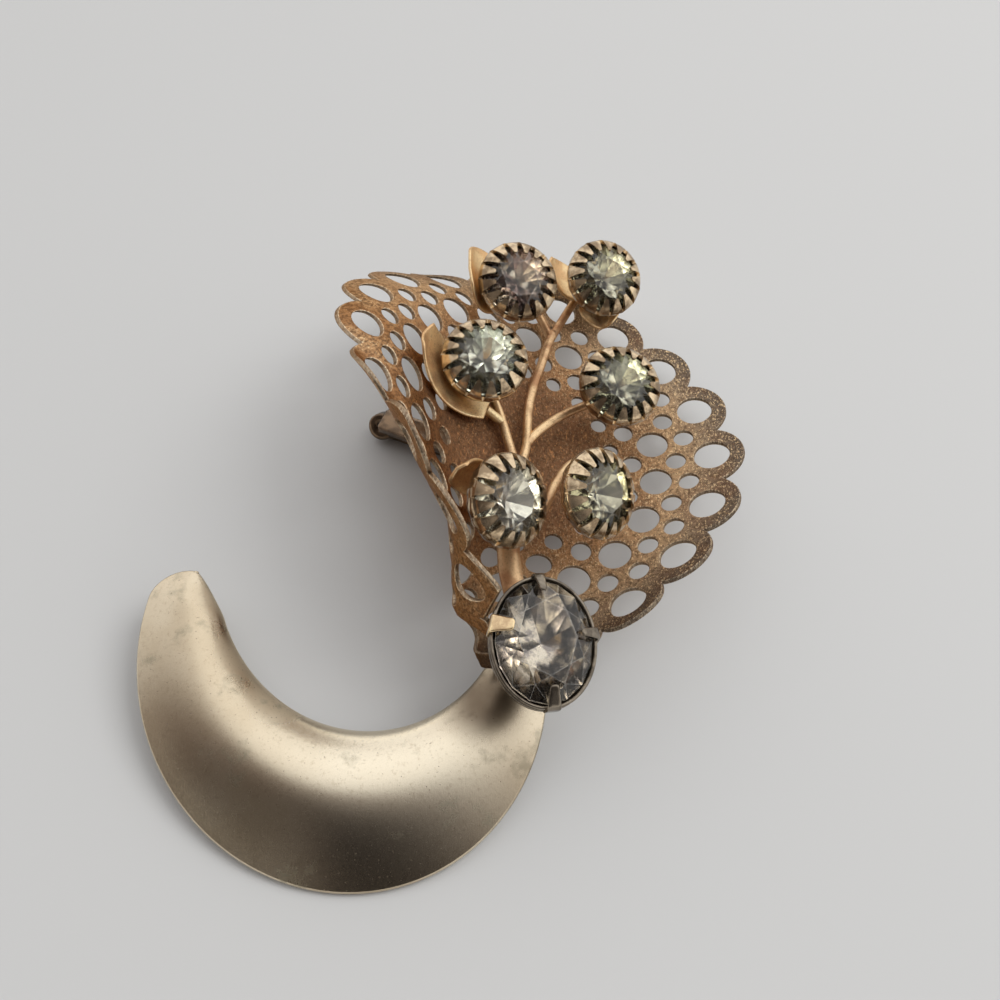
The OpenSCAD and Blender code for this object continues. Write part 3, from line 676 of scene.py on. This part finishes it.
def depth_in_metal(flat):
    """Distance from each flat point to the nearest edge of the lace, positive inside the metal."""
    depth = VALLEY_R * cos(SECTOR / 2) - np.hypot(flat[:, 0], flat[:, 1])
    for middle in ring_of(CROWN_R - LOBE_R, 0):
        depth = np.maximum(depth, LOBE_R - np.hypot(*(flat - middle).T))
    for radius, half, hole in HOLE_ROWS:
        for middle in ring_of(radius, half):
            depth = np.minimum(depth, np.hypot(*(flat - middle).T) - hole)
    solid = rolled(flat, 0.0)
    own = (solid - np.array(OVAL[0])) @ spin_of(OVAL)
    grow = np.interp(own[:, 2], *zip(*ROOM))
    oval = np.hypot(own[:, 0] / (OVAL_W / 2 + grow), own[:, 1] / (OVAL_L / 2 + grow)) - 1
    above = np.maximum(oval * OVAL_W / 2, ROOM[0][0] - own[:, 2])
    foot = np.hypot(*(solid - FOOT_AT)[:, :2].T) - FOOT_R - FOOT_ROOM
    foot = np.maximum(foot, FOOT_BOTTOM - FOOT_ROOM - solid[:, 2])
    return np.minimum(depth, np.minimum(above, foot))


def slope_of(field, flat):
    """How fast a field rises along each of the two lengths of the plane."""
    step = 0.01
    rises = [field(flat + d) - field(flat - d) for d in ((step, 0), (0, step))]
    return np.stack(rises, -1) / (2 * step)


def cut_out(field, spacing, reach, level):
    """Points and triangles that fill the part of a plane where a field is above a level. Those points of
    an even net that lie near the edge are moved onto it, and what still crosses it is cut."""
    row_step = spacing * math.sqrt(0.75)
    rows = int(2 * reach / row_step) + 2
    cols = int(2 * reach / spacing) + 2
    i, j = np.divmod(np.arange(rows * cols), cols)
    flat = np.stack([(j + 0.5 * (i % 2)) * spacing - reach, i * row_step - reach], -1)
    depth = field(flat) - level
    # A point may move this far without turning a triangle over
    movable = 0.33 * spacing
    least_slope = 0.2
    near = np.abs(depth) < movable
    slope = slope_of(field, flat[near])
    flat[near] -= slope * (depth[near] / np.maximum((slope**2).sum(1), least_slope))[:, None]
    depth[near] = 0
    tris = []
    for r in range(rows - 1):
        a = r * cols + np.arange(cols - 1)
        b, c, d = a + 1, a + cols, a + cols + 1
        pair = ((a, b, c), (b, d, c)) if r % 2 == 0 else ((a, b, d), (a, d, c))
        tris += [np.stack(t, -1) for t in pair]
    tris = np.concatenate(tris)
    inside = depth[tris] >= 0
    whole = tris[inside.all(1)]
    # A triangle with all its points on the edge may lie across a hole
    over_hole = -0.02
    whole = whole[field(flat[whole].mean(1)) - level > over_hole]
    points, faces, made = list(flat), [tuple(t) for t in whole], {}

    def cut(kept, lost):
        if depth[kept] == 0:
            return kept
        if (kept, lost) not in made:
            share = depth[kept] / (depth[kept] - depth[lost])
            made[kept, lost] = len(points)
            points.append(flat[kept] + (flat[lost] - flat[kept]) * share)
        return made[kept, lost]

    for tri, signs in zip(tris, inside):
        if signs.any() and not signs.all():
            ring = []
            for k in range(3):
                here, there = tri[k], tri[(k + 1) % 3]
                if signs[k]:
                    ring.append(here)
                if signs[k] != signs[(k + 1) % 3]:
                    ring.append(cut(here, there) if signs[k] else cut(there, here))
            ring = [p for n, p in enumerate(ring) if p != ring[n - 1]]
            faces += [(ring[0], ring[n], ring[n + 1]) for n in range(1, len(ring) - 1)]
    used, flat_faces = np.unique(np.array(faces), return_inverse=True)
    return np.array(points)[used], flat_faces.reshape(-1, 3)


def free_edges(tris):
    """Edges that only one triangle has, each in that triangle's own direction."""
    free = {}
    for a, b, c in tris:
        for edge in ((a, b), (b, c), (c, a)):
            free[edge] = edge[::-1] not in free
            if not free[edge]:
                free[edge[::-1]] = False
    return [edge for edge, alone in free.items() if alone]


# How much thinner the sheet is than in the source, the radius of its worn edges, and the step of its net
LACE_THINNED = 0.1
LACE_EDGE_R = 0.09
LACE_NET = 0.23


def lace():
    """The pierced sheet: its flat face is cut out, and rounded edges join it to the same face behind."""
    flat, tris = cut_out(depth_in_metal, LACE_NET, CROWN_R + 0.4, LACE_EDGE_R)
    edges = free_edges(tris)
    border = np.unique(edges)
    spot = {p: n for n, p in enumerate(border)}
    at = flat[border]
    out = -unit(slope_of(depth_in_metal, at))
    half = (LACE_T - LACE_THINNED) / 2
    profile = [(LACE_EDGE_R * sin(a), half - LACE_EDGE_R * (1 - cos(a))) for a in (45, 90)]
    profile += [(o, -lift) for o, lift in reversed(profile)]
    points = [rolled(flat, half), rolled(flat, -half)]
    flats = [flat, flat]
    side = [np.zeros(2 * len(flat))]
    rings = [border]
    start = 2 * len(flat)
    for o, lift in profile:
        points.append(rolled(at + out * o, lift))
        flats.append(at + out * o)
        side.append(np.full(len(border), o / LACE_EDGE_R))
        rings.append(start + np.arange(len(border)))
        start += len(border)
    rings.append(border + len(flat))
    faces = [list(t) for t in tris] + [[k + len(flat) for k in t[::-1]] for t in tris]
    for upper, lower in zip(rings, rings[1:]):
        for a, b in edges:
            a, b = spot[a], spot[b]
            faces.append([upper[b], upper[a], lower[a], lower[b]])
    # Notes for the finish: how far out in the pattern, which counts for less on the left wall, how far
    # round the sheet's edge, and how high on the left wall
    flats = np.vstack(flats)
    _, turn = slant_and_turn(flats)
    wall, lip = eased((turn - 45) / 45), eased((turn - 58) / 30)
    reach = np.hypot(*flats.T) / CROWN_R * (1 - 0.34 * wall)
    make("lace_sheet", np.vstack(points), faces, [lace_copper()], "lace",
         notes={"reach": reach, "side": np.concatenate(side), "lip": lip})


# Settings and stones

CLAWS = 16
CLAW_TIP_R = 0.76 * ROUND_D / 2
CUP_WALL = 0.36
FLUTE = 0.05
# Half a claw from its middle: place in claws, share of its full height, below 0 for the slot beside it
HALF_CLAW = [
    (0, 1), (0.08, 1), (0.145, 0.98), (0.19, 0.90), (0.25, 0.70), (0.305, 0.50), (0.355, 0.29),
    (0.40, 0.08), (0.44, -0.08), (0.47, -0.15), (0.5, -0.17)]
# Outside of the cup from below: distance, height, share of the flutes
CUP_OUTSIDE = [
    (0.02, -CUP_DEPTH, 0), (0.45 * CUP_R - 0.1, -CUP_DEPTH, 0), (0.45 * CUP_R, -CUP_DEPTH + 0.06, 0),
    (0.60 * CUP_R, -1.95, 0.1), (0.74 * CUP_R, -1.6, 0.4), (0.88 * CUP_R, -1.1, 0.9),
    (0.965 * CUP_R, -0.6, 1)]
CUP_INSIDE = [(CUP_R - CUP_WALL - 0.05, -0.40), (0.70 * CUP_R, -1.35), (0.3, -1.88), (0.02, -1.88)]
# Bend of a claw, from low on the cup's side over the shoulder to its tip: distance, height
CLAW_BEND = np.array([
    (CUP_R - 0.02, -0.28), (CUP_R, 0.0), (CUP_R - 0.02, 0.22), (CUP_R - 0.10, 0.42),
    (CUP_R - 0.24, 0.58), (CLAW_TIP_R + 0.62, 0.90), (CLAW_TIP_R + 0.1, 1.17), (CLAW_TIP_R, 1.2)])
# Which point of the bend is the shoulder, and the steps in which a claw is drawn up along it
SHOULDER = 2
CLAW_STEPS = [0.0, 0.18, 0.3, 0.4, 0.5, 0.66, 0.84, 1.0]


def crown_setting(number, row, finish):
    """A cup with lightly fluted sides, cut into flat claws that are bent in over the stone."""
    place, share = zip(*([(-p, h) for p, h in HALF_CLAW[:0:-1]][1:] + HALF_CLAW))
    turn = (np.arange(CLAWS)[:, None] + np.array(place)).ravel() * 360 / CLAWS
    share = np.tile(share, CLAWS)
    # A claw is flat across, so its sides lie a little further out than its middle
    flat = 1 / cos(np.tile(place, CLAWS) * 360 / CLAWS)
    flute = cos(turn * CLAWS)
    length = np.concatenate([[0], np.cumsum(np.hypot(*np.diff(CLAW_BEND, axis=0).T))])
    shoulder, tip = length[SHOULDER], length[-1]
    reach = np.where(share > 0, shoulder + share * (tip - shoulder), shoulder * (1 + 1.4 * share))
    rings = [round_about(r + FLUTE * f * flute, z, turn) for r, z, f in CUP_OUTSIDE]
    inner = []
    for part in CLAW_STEPS:
        along = part * reach
        distance, height = (np.interp(along, length, column) for column in CLAW_BEND.T)
        over = np.clip((along - shoulder) / (tip - shoulder), 0, 1)
        rings.append(round_about(distance * flat + 0.6 * FLUTE * (1 - part) * flute, height, turn))
        inner.append(round_about((distance - CUP_WALL * (1 - over * 0.85)) * flat,
                                 height - CUP_WALL * 0.6 * over, turn))
    rings += inner[::-1] + [round_about(r, z, turn) for r, z in CUP_INSIDE]
    points, faces = stack(rings)
    make(f"crown_setting_{number}", placed(points, row), faces, [finish], f"setting_{number}",
         crease=38)


def brilliant(half_w, half_l, table, crown, girdle, depth):
    """A brilliant cut, with a table, stars, kites and halves above the girdle, mains and halves below.
    The last value says which faces belong to the foiled back."""
    kite_out, main_in = 0.78, 0.3
    bend = cos(22.5)

    def at(share, angle, z):
        return [half_w * share * cos(angle), half_l * share * sin(angle), z]

    kite_z = girdle / 2 + crown * (1 - kite_out * bend) / (1 - table)
    main_z = -girdle / 2 - depth * (1 - main_in * bend)
    points = [at(table, 45 * k, girdle / 2 + crown) for k in range(8)]
    points += [at(kite_out, 45 * k + 22.5, kite_z) for k in range(8)]
    points += [at(1, 22.5 * k, girdle / 2) for k in range(16)]
    points += [at(1, 22.5 * k, -girdle / 2) for k in range(16)]
    points += [at(main_in, 45 * k + 22.5, main_z) for k in range(8)]
    points.append([0, 0, -girdle / 2 - depth])
    # Where each ring of points starts in the list, after the table's
    kite, top, low, main, tip = 8, 16, 32, 48, 56
    faces = [list(range(8))]
    for k in range(8):
        here, ahead, after, behind = 2 * k, 2 * k + 1, (2 * k + 2) % 16, (k + 7) % 8
        faces += [[k, kite + k, (k + 1) % 8], [k, kite + behind, top + here, kite + k],
                  [kite + k, top + here, top + ahead], [kite + k, top + ahead, top + after]]
    for k in range(16):
        n = (k + 1) % 16
        faces.append([top + k, low + k, low + n, top + n])
    front = len(faces)
    for k in range(8):
        here, ahead, after, behind = 2 * k, 2 * k + 1, (2 * k + 2) % 16, (k + 7) % 8
        faces += [[main + k, low + ahead, low + here], [main + k, low + after, low + ahead],
                  [tip, main + k, low + here, main + behind]]
    return points, faces, [0] * front + [1] * (len(faces) - front)


# From the place where a round stone's foil is painted bright as a glint to the middle of its girdle
FOIL_GLINT_OFFSET = np.array([-1.1, -1.3, 0.9])
# Foil of each round stone: bright colour, dull colour, size of its patches
STONE_FOILS = [
    ((0.80, 0.72, 0.60), (0.36, 0.24, 0.22), 0.50), ((0.90, 0.87, 0.70), (0.38, 0.36, 0.29), 0.56),
    ((0.92, 0.92, 0.82), (0.42, 0.45, 0.39), 0.46), ((0.86, 0.84, 0.68), (0.34, 0.34, 0.27), 0.60),
    ((1.0, 0.97, 0.86), (0.62, 0.56, 0.48), 0.44), ((0.80, 0.76, 0.58), (0.30, 0.27, 0.20), 0.64)]
# Cuts: share of the table, height of the crown, thickness of the girdle, depth below it
ROUND_CUT = (0.52, 0.95, 0.3, 1.6)
OVAL_CUT = (0.6, 1.2, 0.3, 2.1)


def round_stones():
    """The six flower heads: a stone in its crown setting each."""
    glass = clear_glass("stone_glass", (0.93, 0.94, 0.89))
    worn = worn_edge("stone_edges")
    metal = pale_gold()
    for n, row in enumerate(FLOWERS, 1):
        back = foil(f"stone_foil_{n}", np.array(row[0]) - FOIL_GLINT_OFFSET, *STONE_FOILS[n - 1])
        crown_setting(n, row, metal)
        points, faces, which = brilliant(ROUND_D / 2, ROUND_D / 2, *ROUND_CUT)
        make(f"round_stone_{n}", placed(points, row), faces, [glass, back, worn], f"stone_{n}",
             which=which, flat=True, bevel=0.014)


# Cup of the oval setting, from its floor over the double rim to its base: beyond the stone, height
OVAL_CUP = [
    (-3.3, -2.40), (-0.2, -0.5), (0.12, -0.25), (0.12, 0.04), (0.15, 0.10), (0.22, 0.13), (0.31, 0.12),
    (0.37, 0.06), (0.39, -0.02), (0.38, -0.22), (0.33, -0.30), (0.20, -0.36), (0.17, -0.41),
    (0.20, -0.47), (0.33, -0.52), (0.38, -0.58), (0.39, -0.72), (0.37, -0.95), (0.28, -1.10),
    (-0.4, -2.1), (-1.0, -2.72), (-1.5, -2.92), (-1.7, -2.95)]
# Claws of the oval setting: angle round it, width at the foot, width at the tip, 1 for the one with a
# painted highlight
OVAL_CLAWS = [(5, 0.8, 0.3, 0), (92, 0.8, 0.3, 0), (165, 1.4, 0.6, 1), (274, 1.0, 0.4, 0)]
OVAL_CLAW_T = 0.22
# Bend of such a claw from its foot to its tip: beyond the stone, height
OVAL_CLAW_BEND = [
    (0.36, -0.69), (0.40, -0.24), (0.42, 0.16), (0.38, 0.46), (0.21, 0.68), (-0.14, 0.94), (-0.54, 1.21),
    (-0.89, 1.46), (-1.06, 1.56)]
# The foot, from below: radius, height
OVAL_FOOT = [
    (FOOT_R - 0.1, FOOT_BOTTOM), (FOOT_R, FOOT_BOTTOM + 0.1), (FOOT_R - 0.15, 6.5), (FOOT_R, FOOT_AT[2])]


def oval_ring(grow, z):
    """A ring round the oval stone, a little bigger or smaller than the stone."""
    turns = np.arange(96) * 360 / 96
    half_w, half_l = OVAL_W / 2 + grow, OVAL_L / 2 + grow
    return np.stack([half_w * cos(turns), half_l * sin(turns), z + 0 * turns], -1)


def oval_claw(angle, foot_w, tip_w):
    """One flat claw of the oval setting, bent in over the stone and rounded at its tip."""
    line = smooth([(x, 0, z) for x, z in OVAL_CLAW_BEND], 3)
    half_w = np.interp(np.linspace(0, 1, len(line)), (0, 0.45, 1), (foot_w, foot_w * 0.85, tip_w)) / 2
    half_w[-2:] *= (0.9, 0.6)
    grid = np.stack([line + np.outer(half_w * s, (0, 1, 0)) for s in (-1, -0.5, 0, 0.5, 1)], 1)
    points, faces = shell(grid[::-1], OVAL_CLAW_T)
    edge = (OVAL_W / 2 * cos(angle), OVAL_L / 2 * sin(angle), 0)
    return points @ turned("Z", angle).T + edge, faces


def oval_piece():
    """The smoky oval stone and its four-claw setting, with the foot that stands over the crescent."""
    # Lit and shaded copies of one metal: the setting in painted shade, one claw with a painted highlight
    dark = pale_gold("oval_gold", (0.27, 0.23, 0.18), (0.11, 0.09, 0.07))
    bright = pale_gold("claw_gold", (0.90, 0.70, 0.42), (0.62, 0.44, 0.26))
    parts = [stack([oval_ring(grow, z) for grow, z in OVAL_CUP][::-1])]
    which = [0] * len(parts[0][1])
    for angle, foot_w, tip_w, lit_claw in OVAL_CLAWS:
        parts.append(oval_claw(angle, foot_w, tip_w))
        which += [lit_claw] * len(parts[-1][1])
    points, faces = join(parts)
    turns = np.arange(28) * 360 / 28
    foot = [round_about(r, z, turns) + (FOOT_AT[0], FOOT_AT[1], 0) for r, z in OVAL_FOOT]
    points, faces = join([(placed(points, OVAL), faces), stack(foot)])
    which += [0] * (len(faces) - len(which))
    make("oval_crown", points, faces, [dark, bright], "oval_setting", which=which)
    glass = clear_glass("smoky_glass", (0.84, 0.82, 0.80), 0.03)
    # The foil is painted bright round this point, as a glint
    back = foil("smoky_foil", (5.0, -16.2, 9.4), (0.84, 0.77, 0.64), (0.36, 0.33, 0.31), 0.9)
    points, faces, which = brilliant(OVAL_W / 2, OVAL_L / 2, *OVAL_CUT)
    make("oval_cut_stone", placed(points, OVAL), faces, [glass, back, worn_edge("smoky_edges")],
         "oval_stone", which=which, flat=True, bevel=0.018)


# Spray

def under(row, drop):
    """A point on the axis of a flower head, below its cup."""
    return placed([0, 0, -CUP_DEPTH - drop], row)


# The blades are this much thinner and narrower all round than in the source
LEAF_THINNED = 0.08
LEAF_TRIM = 0.06
# Depth of the crease along a blade, and how wide it is as a share of half the blade
CREASE_DEPTH = 0.05
CREASE_WIDTH = 0.12


def leaf(row):
    """A cupped blade on a stalk: it climbs from its foot, curls up, and has a crease down its middle."""
    root, foot, aim, climb, curl, roll, length, width, cup = row
    bend_r = length * 180 / (curl * math.pi)
    s = np.linspace(0, 1, 18)[:, None]
    v = np.linspace(1, -1, 13)[None, :]
    heading = climb + curl * s
    # Full width in the middle of the blade, about half of it at both ends
    half_w = width / 2 * (0.22 + 0.78 * sin(180 * (0.1 + 0.76 * s)**0.9)) - LEAF_TRIM
    lift = LEAF_T / 2 + cup * v**2 * s - CREASE_DEPTH * np.exp(-(v / CREASE_WIDTH)**2) * s
    x = bend_r * (sin(heading) - sin(climb)) - sin(heading) * lift
    z = bend_r * (cos(climb) - cos(heading)) + cos(heading) * lift
    grid = np.stack([x, v * half_w, z], -1)
    grid = grid @ np.array(Matrix.Rotation(math.radians(roll), 3, (cos(climb), 0, sin(climb)))).T
    points, faces = shell(grid @ turned("Z", aim).T + foot, LEAF_T - LEAF_THINNED)
    stalk = smooth([root, (np.array(root) + foot) / 2, foot], 6)
    return join([(points, faces), wire(stalk, np.full(len(stalk), WIRE_R))])


def spray():
    """The flat trunk, the stem, a twig to each flower head, and the leaves."""
    trunk = smooth(TRUNK, 8)
    parts = [wire(trunk, np.full(len(trunk), TRUNK_W / 2), 20, TRUNK_T / 2, UP)]
    twigs = [twig + [under(row, NECK), under(row, 1.5 * GAP)] for twig, row in zip(TWIGS, FLOWERS)]
    for path in [STEM] + twigs:
        curve = smooth(path, 8)
        parts.append(wire(curve, np.full(len(curve), WIRE_R)))
    wires = sum(len(faces) for _, faces in parts)
    parts += [leaf(row) for row in LEAVES]
    points, faces = join(parts)
    wire_finish = wire_gold("wire_gold", (0.46, 0.25, 0.13), (0.92, 0.66, 0.38))
    leaf_finish = wire_gold("leaf_gold", (0.74, 0.48, 0.25), (1.0, 0.80, 0.47))
    make("stone_spray", points, faces, [wire_finish, leaf_finish], "spray",
         which=[0] * wires + [1] * (len(faces) - wires))


# Pin

# Length of the stem's point, and how thin it ends
POINT_L = 4.0
POINT_LEAST = 0.12
BAR_CORNER = 0.25
BAR_Z = BAR_TOP - BAR_T / 2
# The catch from its top round to its open end: across the bar, height
CATCH = [
    (0, BAR_Z), (-0.85, 1.8), (-0.98, 0.95), (-0.75, 0.35), (-0.1, 0.17), (0.6, 0.32), (0.95, 0.85)]
CATCH_T = 0.32
# Half the section of the eye, from its hole outwards: distance, place across
EYE_SECTION = [
    (EYE_HOLE, 0.5), (EYE_HOLE + 0.12, 0.62), (EYE_R - 0.15, EYE_W / 2), (EYE_R, EYE_W / 2 - 0.15)]


def pin():
    """Eye, bar, stem and catch: one plain piece across the back."""
    turns = np.arange(24) * 15 + 7.5
    # Flat sides that run into round corners
    section = np.stack([np.clip(1.6 * way, -1, 1) * (size / 2 - BAR_CORNER) + BAR_CORNER * way
                        for way, size in ((cos(turns), BAR_W), (sin(turns), BAR_T))], -1)
    bar = [np.stack([x + 0 * turns, w * section[:, 0], BAR_Z + w * section[:, 1]], -1)
           for x, w in ((0, 0.85), (0.2, 1), (PIN_LEN - 0.2, 1), (PIN_LEN, 0.9))]
    stem = np.array([(x, 0, STEM_D / 2) for x in np.linspace(0.2, PIN_LEN - GAP, 40)])
    taper = np.clip((PIN_LEN - stem[:, 0]) / POINT_L, POINT_LEAST, 1)
    hook = smooth([(0, y, z) for y, z in CATCH], 5)
    catch = np.stack([hook + (PIN_LEN - CATCH_L * share, 0, 0) for share in (0.1, 0.5, 0.9)], 1)
    turns = np.arange(36) * 10
    ring = [round_about(r, -z, turns) for r, z in EYE_SECTION]
    ring += [round_about(r, z, turns) for r, z in EYE_SECTION[::-1]]
    eye, eye_faces = stack(ring + ring[:1], capped=False)
    eye = eye @ turned("X", 90 - EYE_TILT).T + UP * EYE[2]
    points, faces = join([stack(bar), wire(stem, STEM_D / 2 * taper, 16, upright=UP),
                          shell(catch, CATCH_T), (eye, eye_faces)])
    points = points @ turned("Z", PIN_BEARING).T + (EYE[0], EYE[1], 0)
    gold = pale_gold("pin_metal", (0.24, 0.16, 0.10), (0.11, 0.075, 0.05))
    make("pin_across_back", points, faces, [gold], "pin_fitting")


# Floor, light and camera

def pale_floor():
    """The pale sheet that the brooch lies on."""
    f = Metal("pale_floor")
    bpy.ops.mesh.primitive_circle_add(vertices=96, radius=2.5, fill_type="NGON", location=(0, 0, 0))
    floor = bpy.context.object
    floor.name = "floor"
    floor.data.materials.append(f.wear(Base_Color=(0.605, 0.61, 0.61), Roughness=0.75))


# Colour of the room, from its near side to its far side
ROOM_STOPS = [
    (0.05, (0.023, 0.021, 0.021)), (0.17, (0.048, 0.043, 0.041)), (0.27, (0.115, 0.104, 0.099)),
    (0.35, (0.22, 0.20, 0.19)), (0.40, (0.40, 0.39, 0.38)), (0.47, (0.66, 0.655, 0.65)),
    (0.55, (0.80, 0.795, 0.79)), (0.75, (0.92, 0.915, 0.91)), (1.0, (0.84, 0.84, 0.84))]
ROOM_STRENGTH = 1.32


def studio_air():
    """The pale room round the brooch: bright on the far side, dark on the near side, warm and duller to
    the left, darker still near and left, with a pale band low all round."""
    f = Finish(bpy.data.worlds.new("studio"))
    bpy.context.scene.world = f.owner
    way = f.node("ShaderNodeTexCoord", out=0)
    x, y, z = (f.node("ShaderNodeSeparateXYZ", None, {0: way}, out=k) for k in range(3))
    depth = y * 0.5 + x.at_least(-0.35) * 0.25 + 0.5
    left, near = 0 - x, 0 - y
    air = f.node("ShaderNodeValToRGB", {"stops": ROOM_STOPS}, {0: depth})
    air = f.mix(left.between(0.10, 0.50) * 0.17, air, (0.19, 0.125, 0.105))
    air = f.mix(left.between(0.15, 0.50) * near.between(0.25, 0.60) * 0.85, air, (0.095, 0.086, 0.08))
    air = f.mix(z.between(0.20, 0.06) * 0.85, air, (0.98, 0.955, 0.90))
    backdrop = f.tree.nodes["Background"]
    f.put(backdrop.inputs["Color"], air)
    f.put(backdrop.inputs["Strength"], ROOM_STRENGTH)


def softbox():
    """A soft lamp high on the right. It throws the shadow to the left, and shows in no reflection."""
    light = bpy.data.lights.new("softbox", "AREA")
    light.size = 0.32
    light.energy = 1.5
    light.color = (1.0, 0.99, 0.975)
    lamp = bpy.data.objects.new("softbox", light)
    lamp.location = (0.38, 0.10, 0.48)
    lamp.rotation_euler = (-lamp.location).to_track_quat("-Z", "Y").to_euler()
    lamp.visible_glossy = False
    bpy.context.scene.collection.objects.link(lamp)


# The photo's own viewpoint, its lean off straight down, and its focal length as a share of the
# picture's width
CAMERA_AT = (3.7, -38.5, 75.6)
CAMERA_LEAN = 30
FOCAL_SHARE = 0.925


def photo_camera():
    """The camera at the photo's own place and angle."""
    camera = bpy.data.cameras.new("camera")
    camera.sensor_width = 36
    camera.lens = camera.sensor_width * FOCAL_SHARE
    camera.clip_start = 0.002
    camera.clip_end = 20
    seat = bpy.data.objects.new("camera", camera)
    seat.location = Vector(CAMERA_AT) * MM
    seat.rotation_euler = (math.radians(CAMERA_LEAN), 0, 0)
    bpy.context.scene.collection.objects.link(seat)
    bpy.context.scene.camera = seat


crescent()
lace()
round_stones()
oval_piece()
spray()
pin()
pale_floor()
studio_air()
softbox()
photo_camera()

bpy.context.scene.view_settings.view_transform = "Standard"
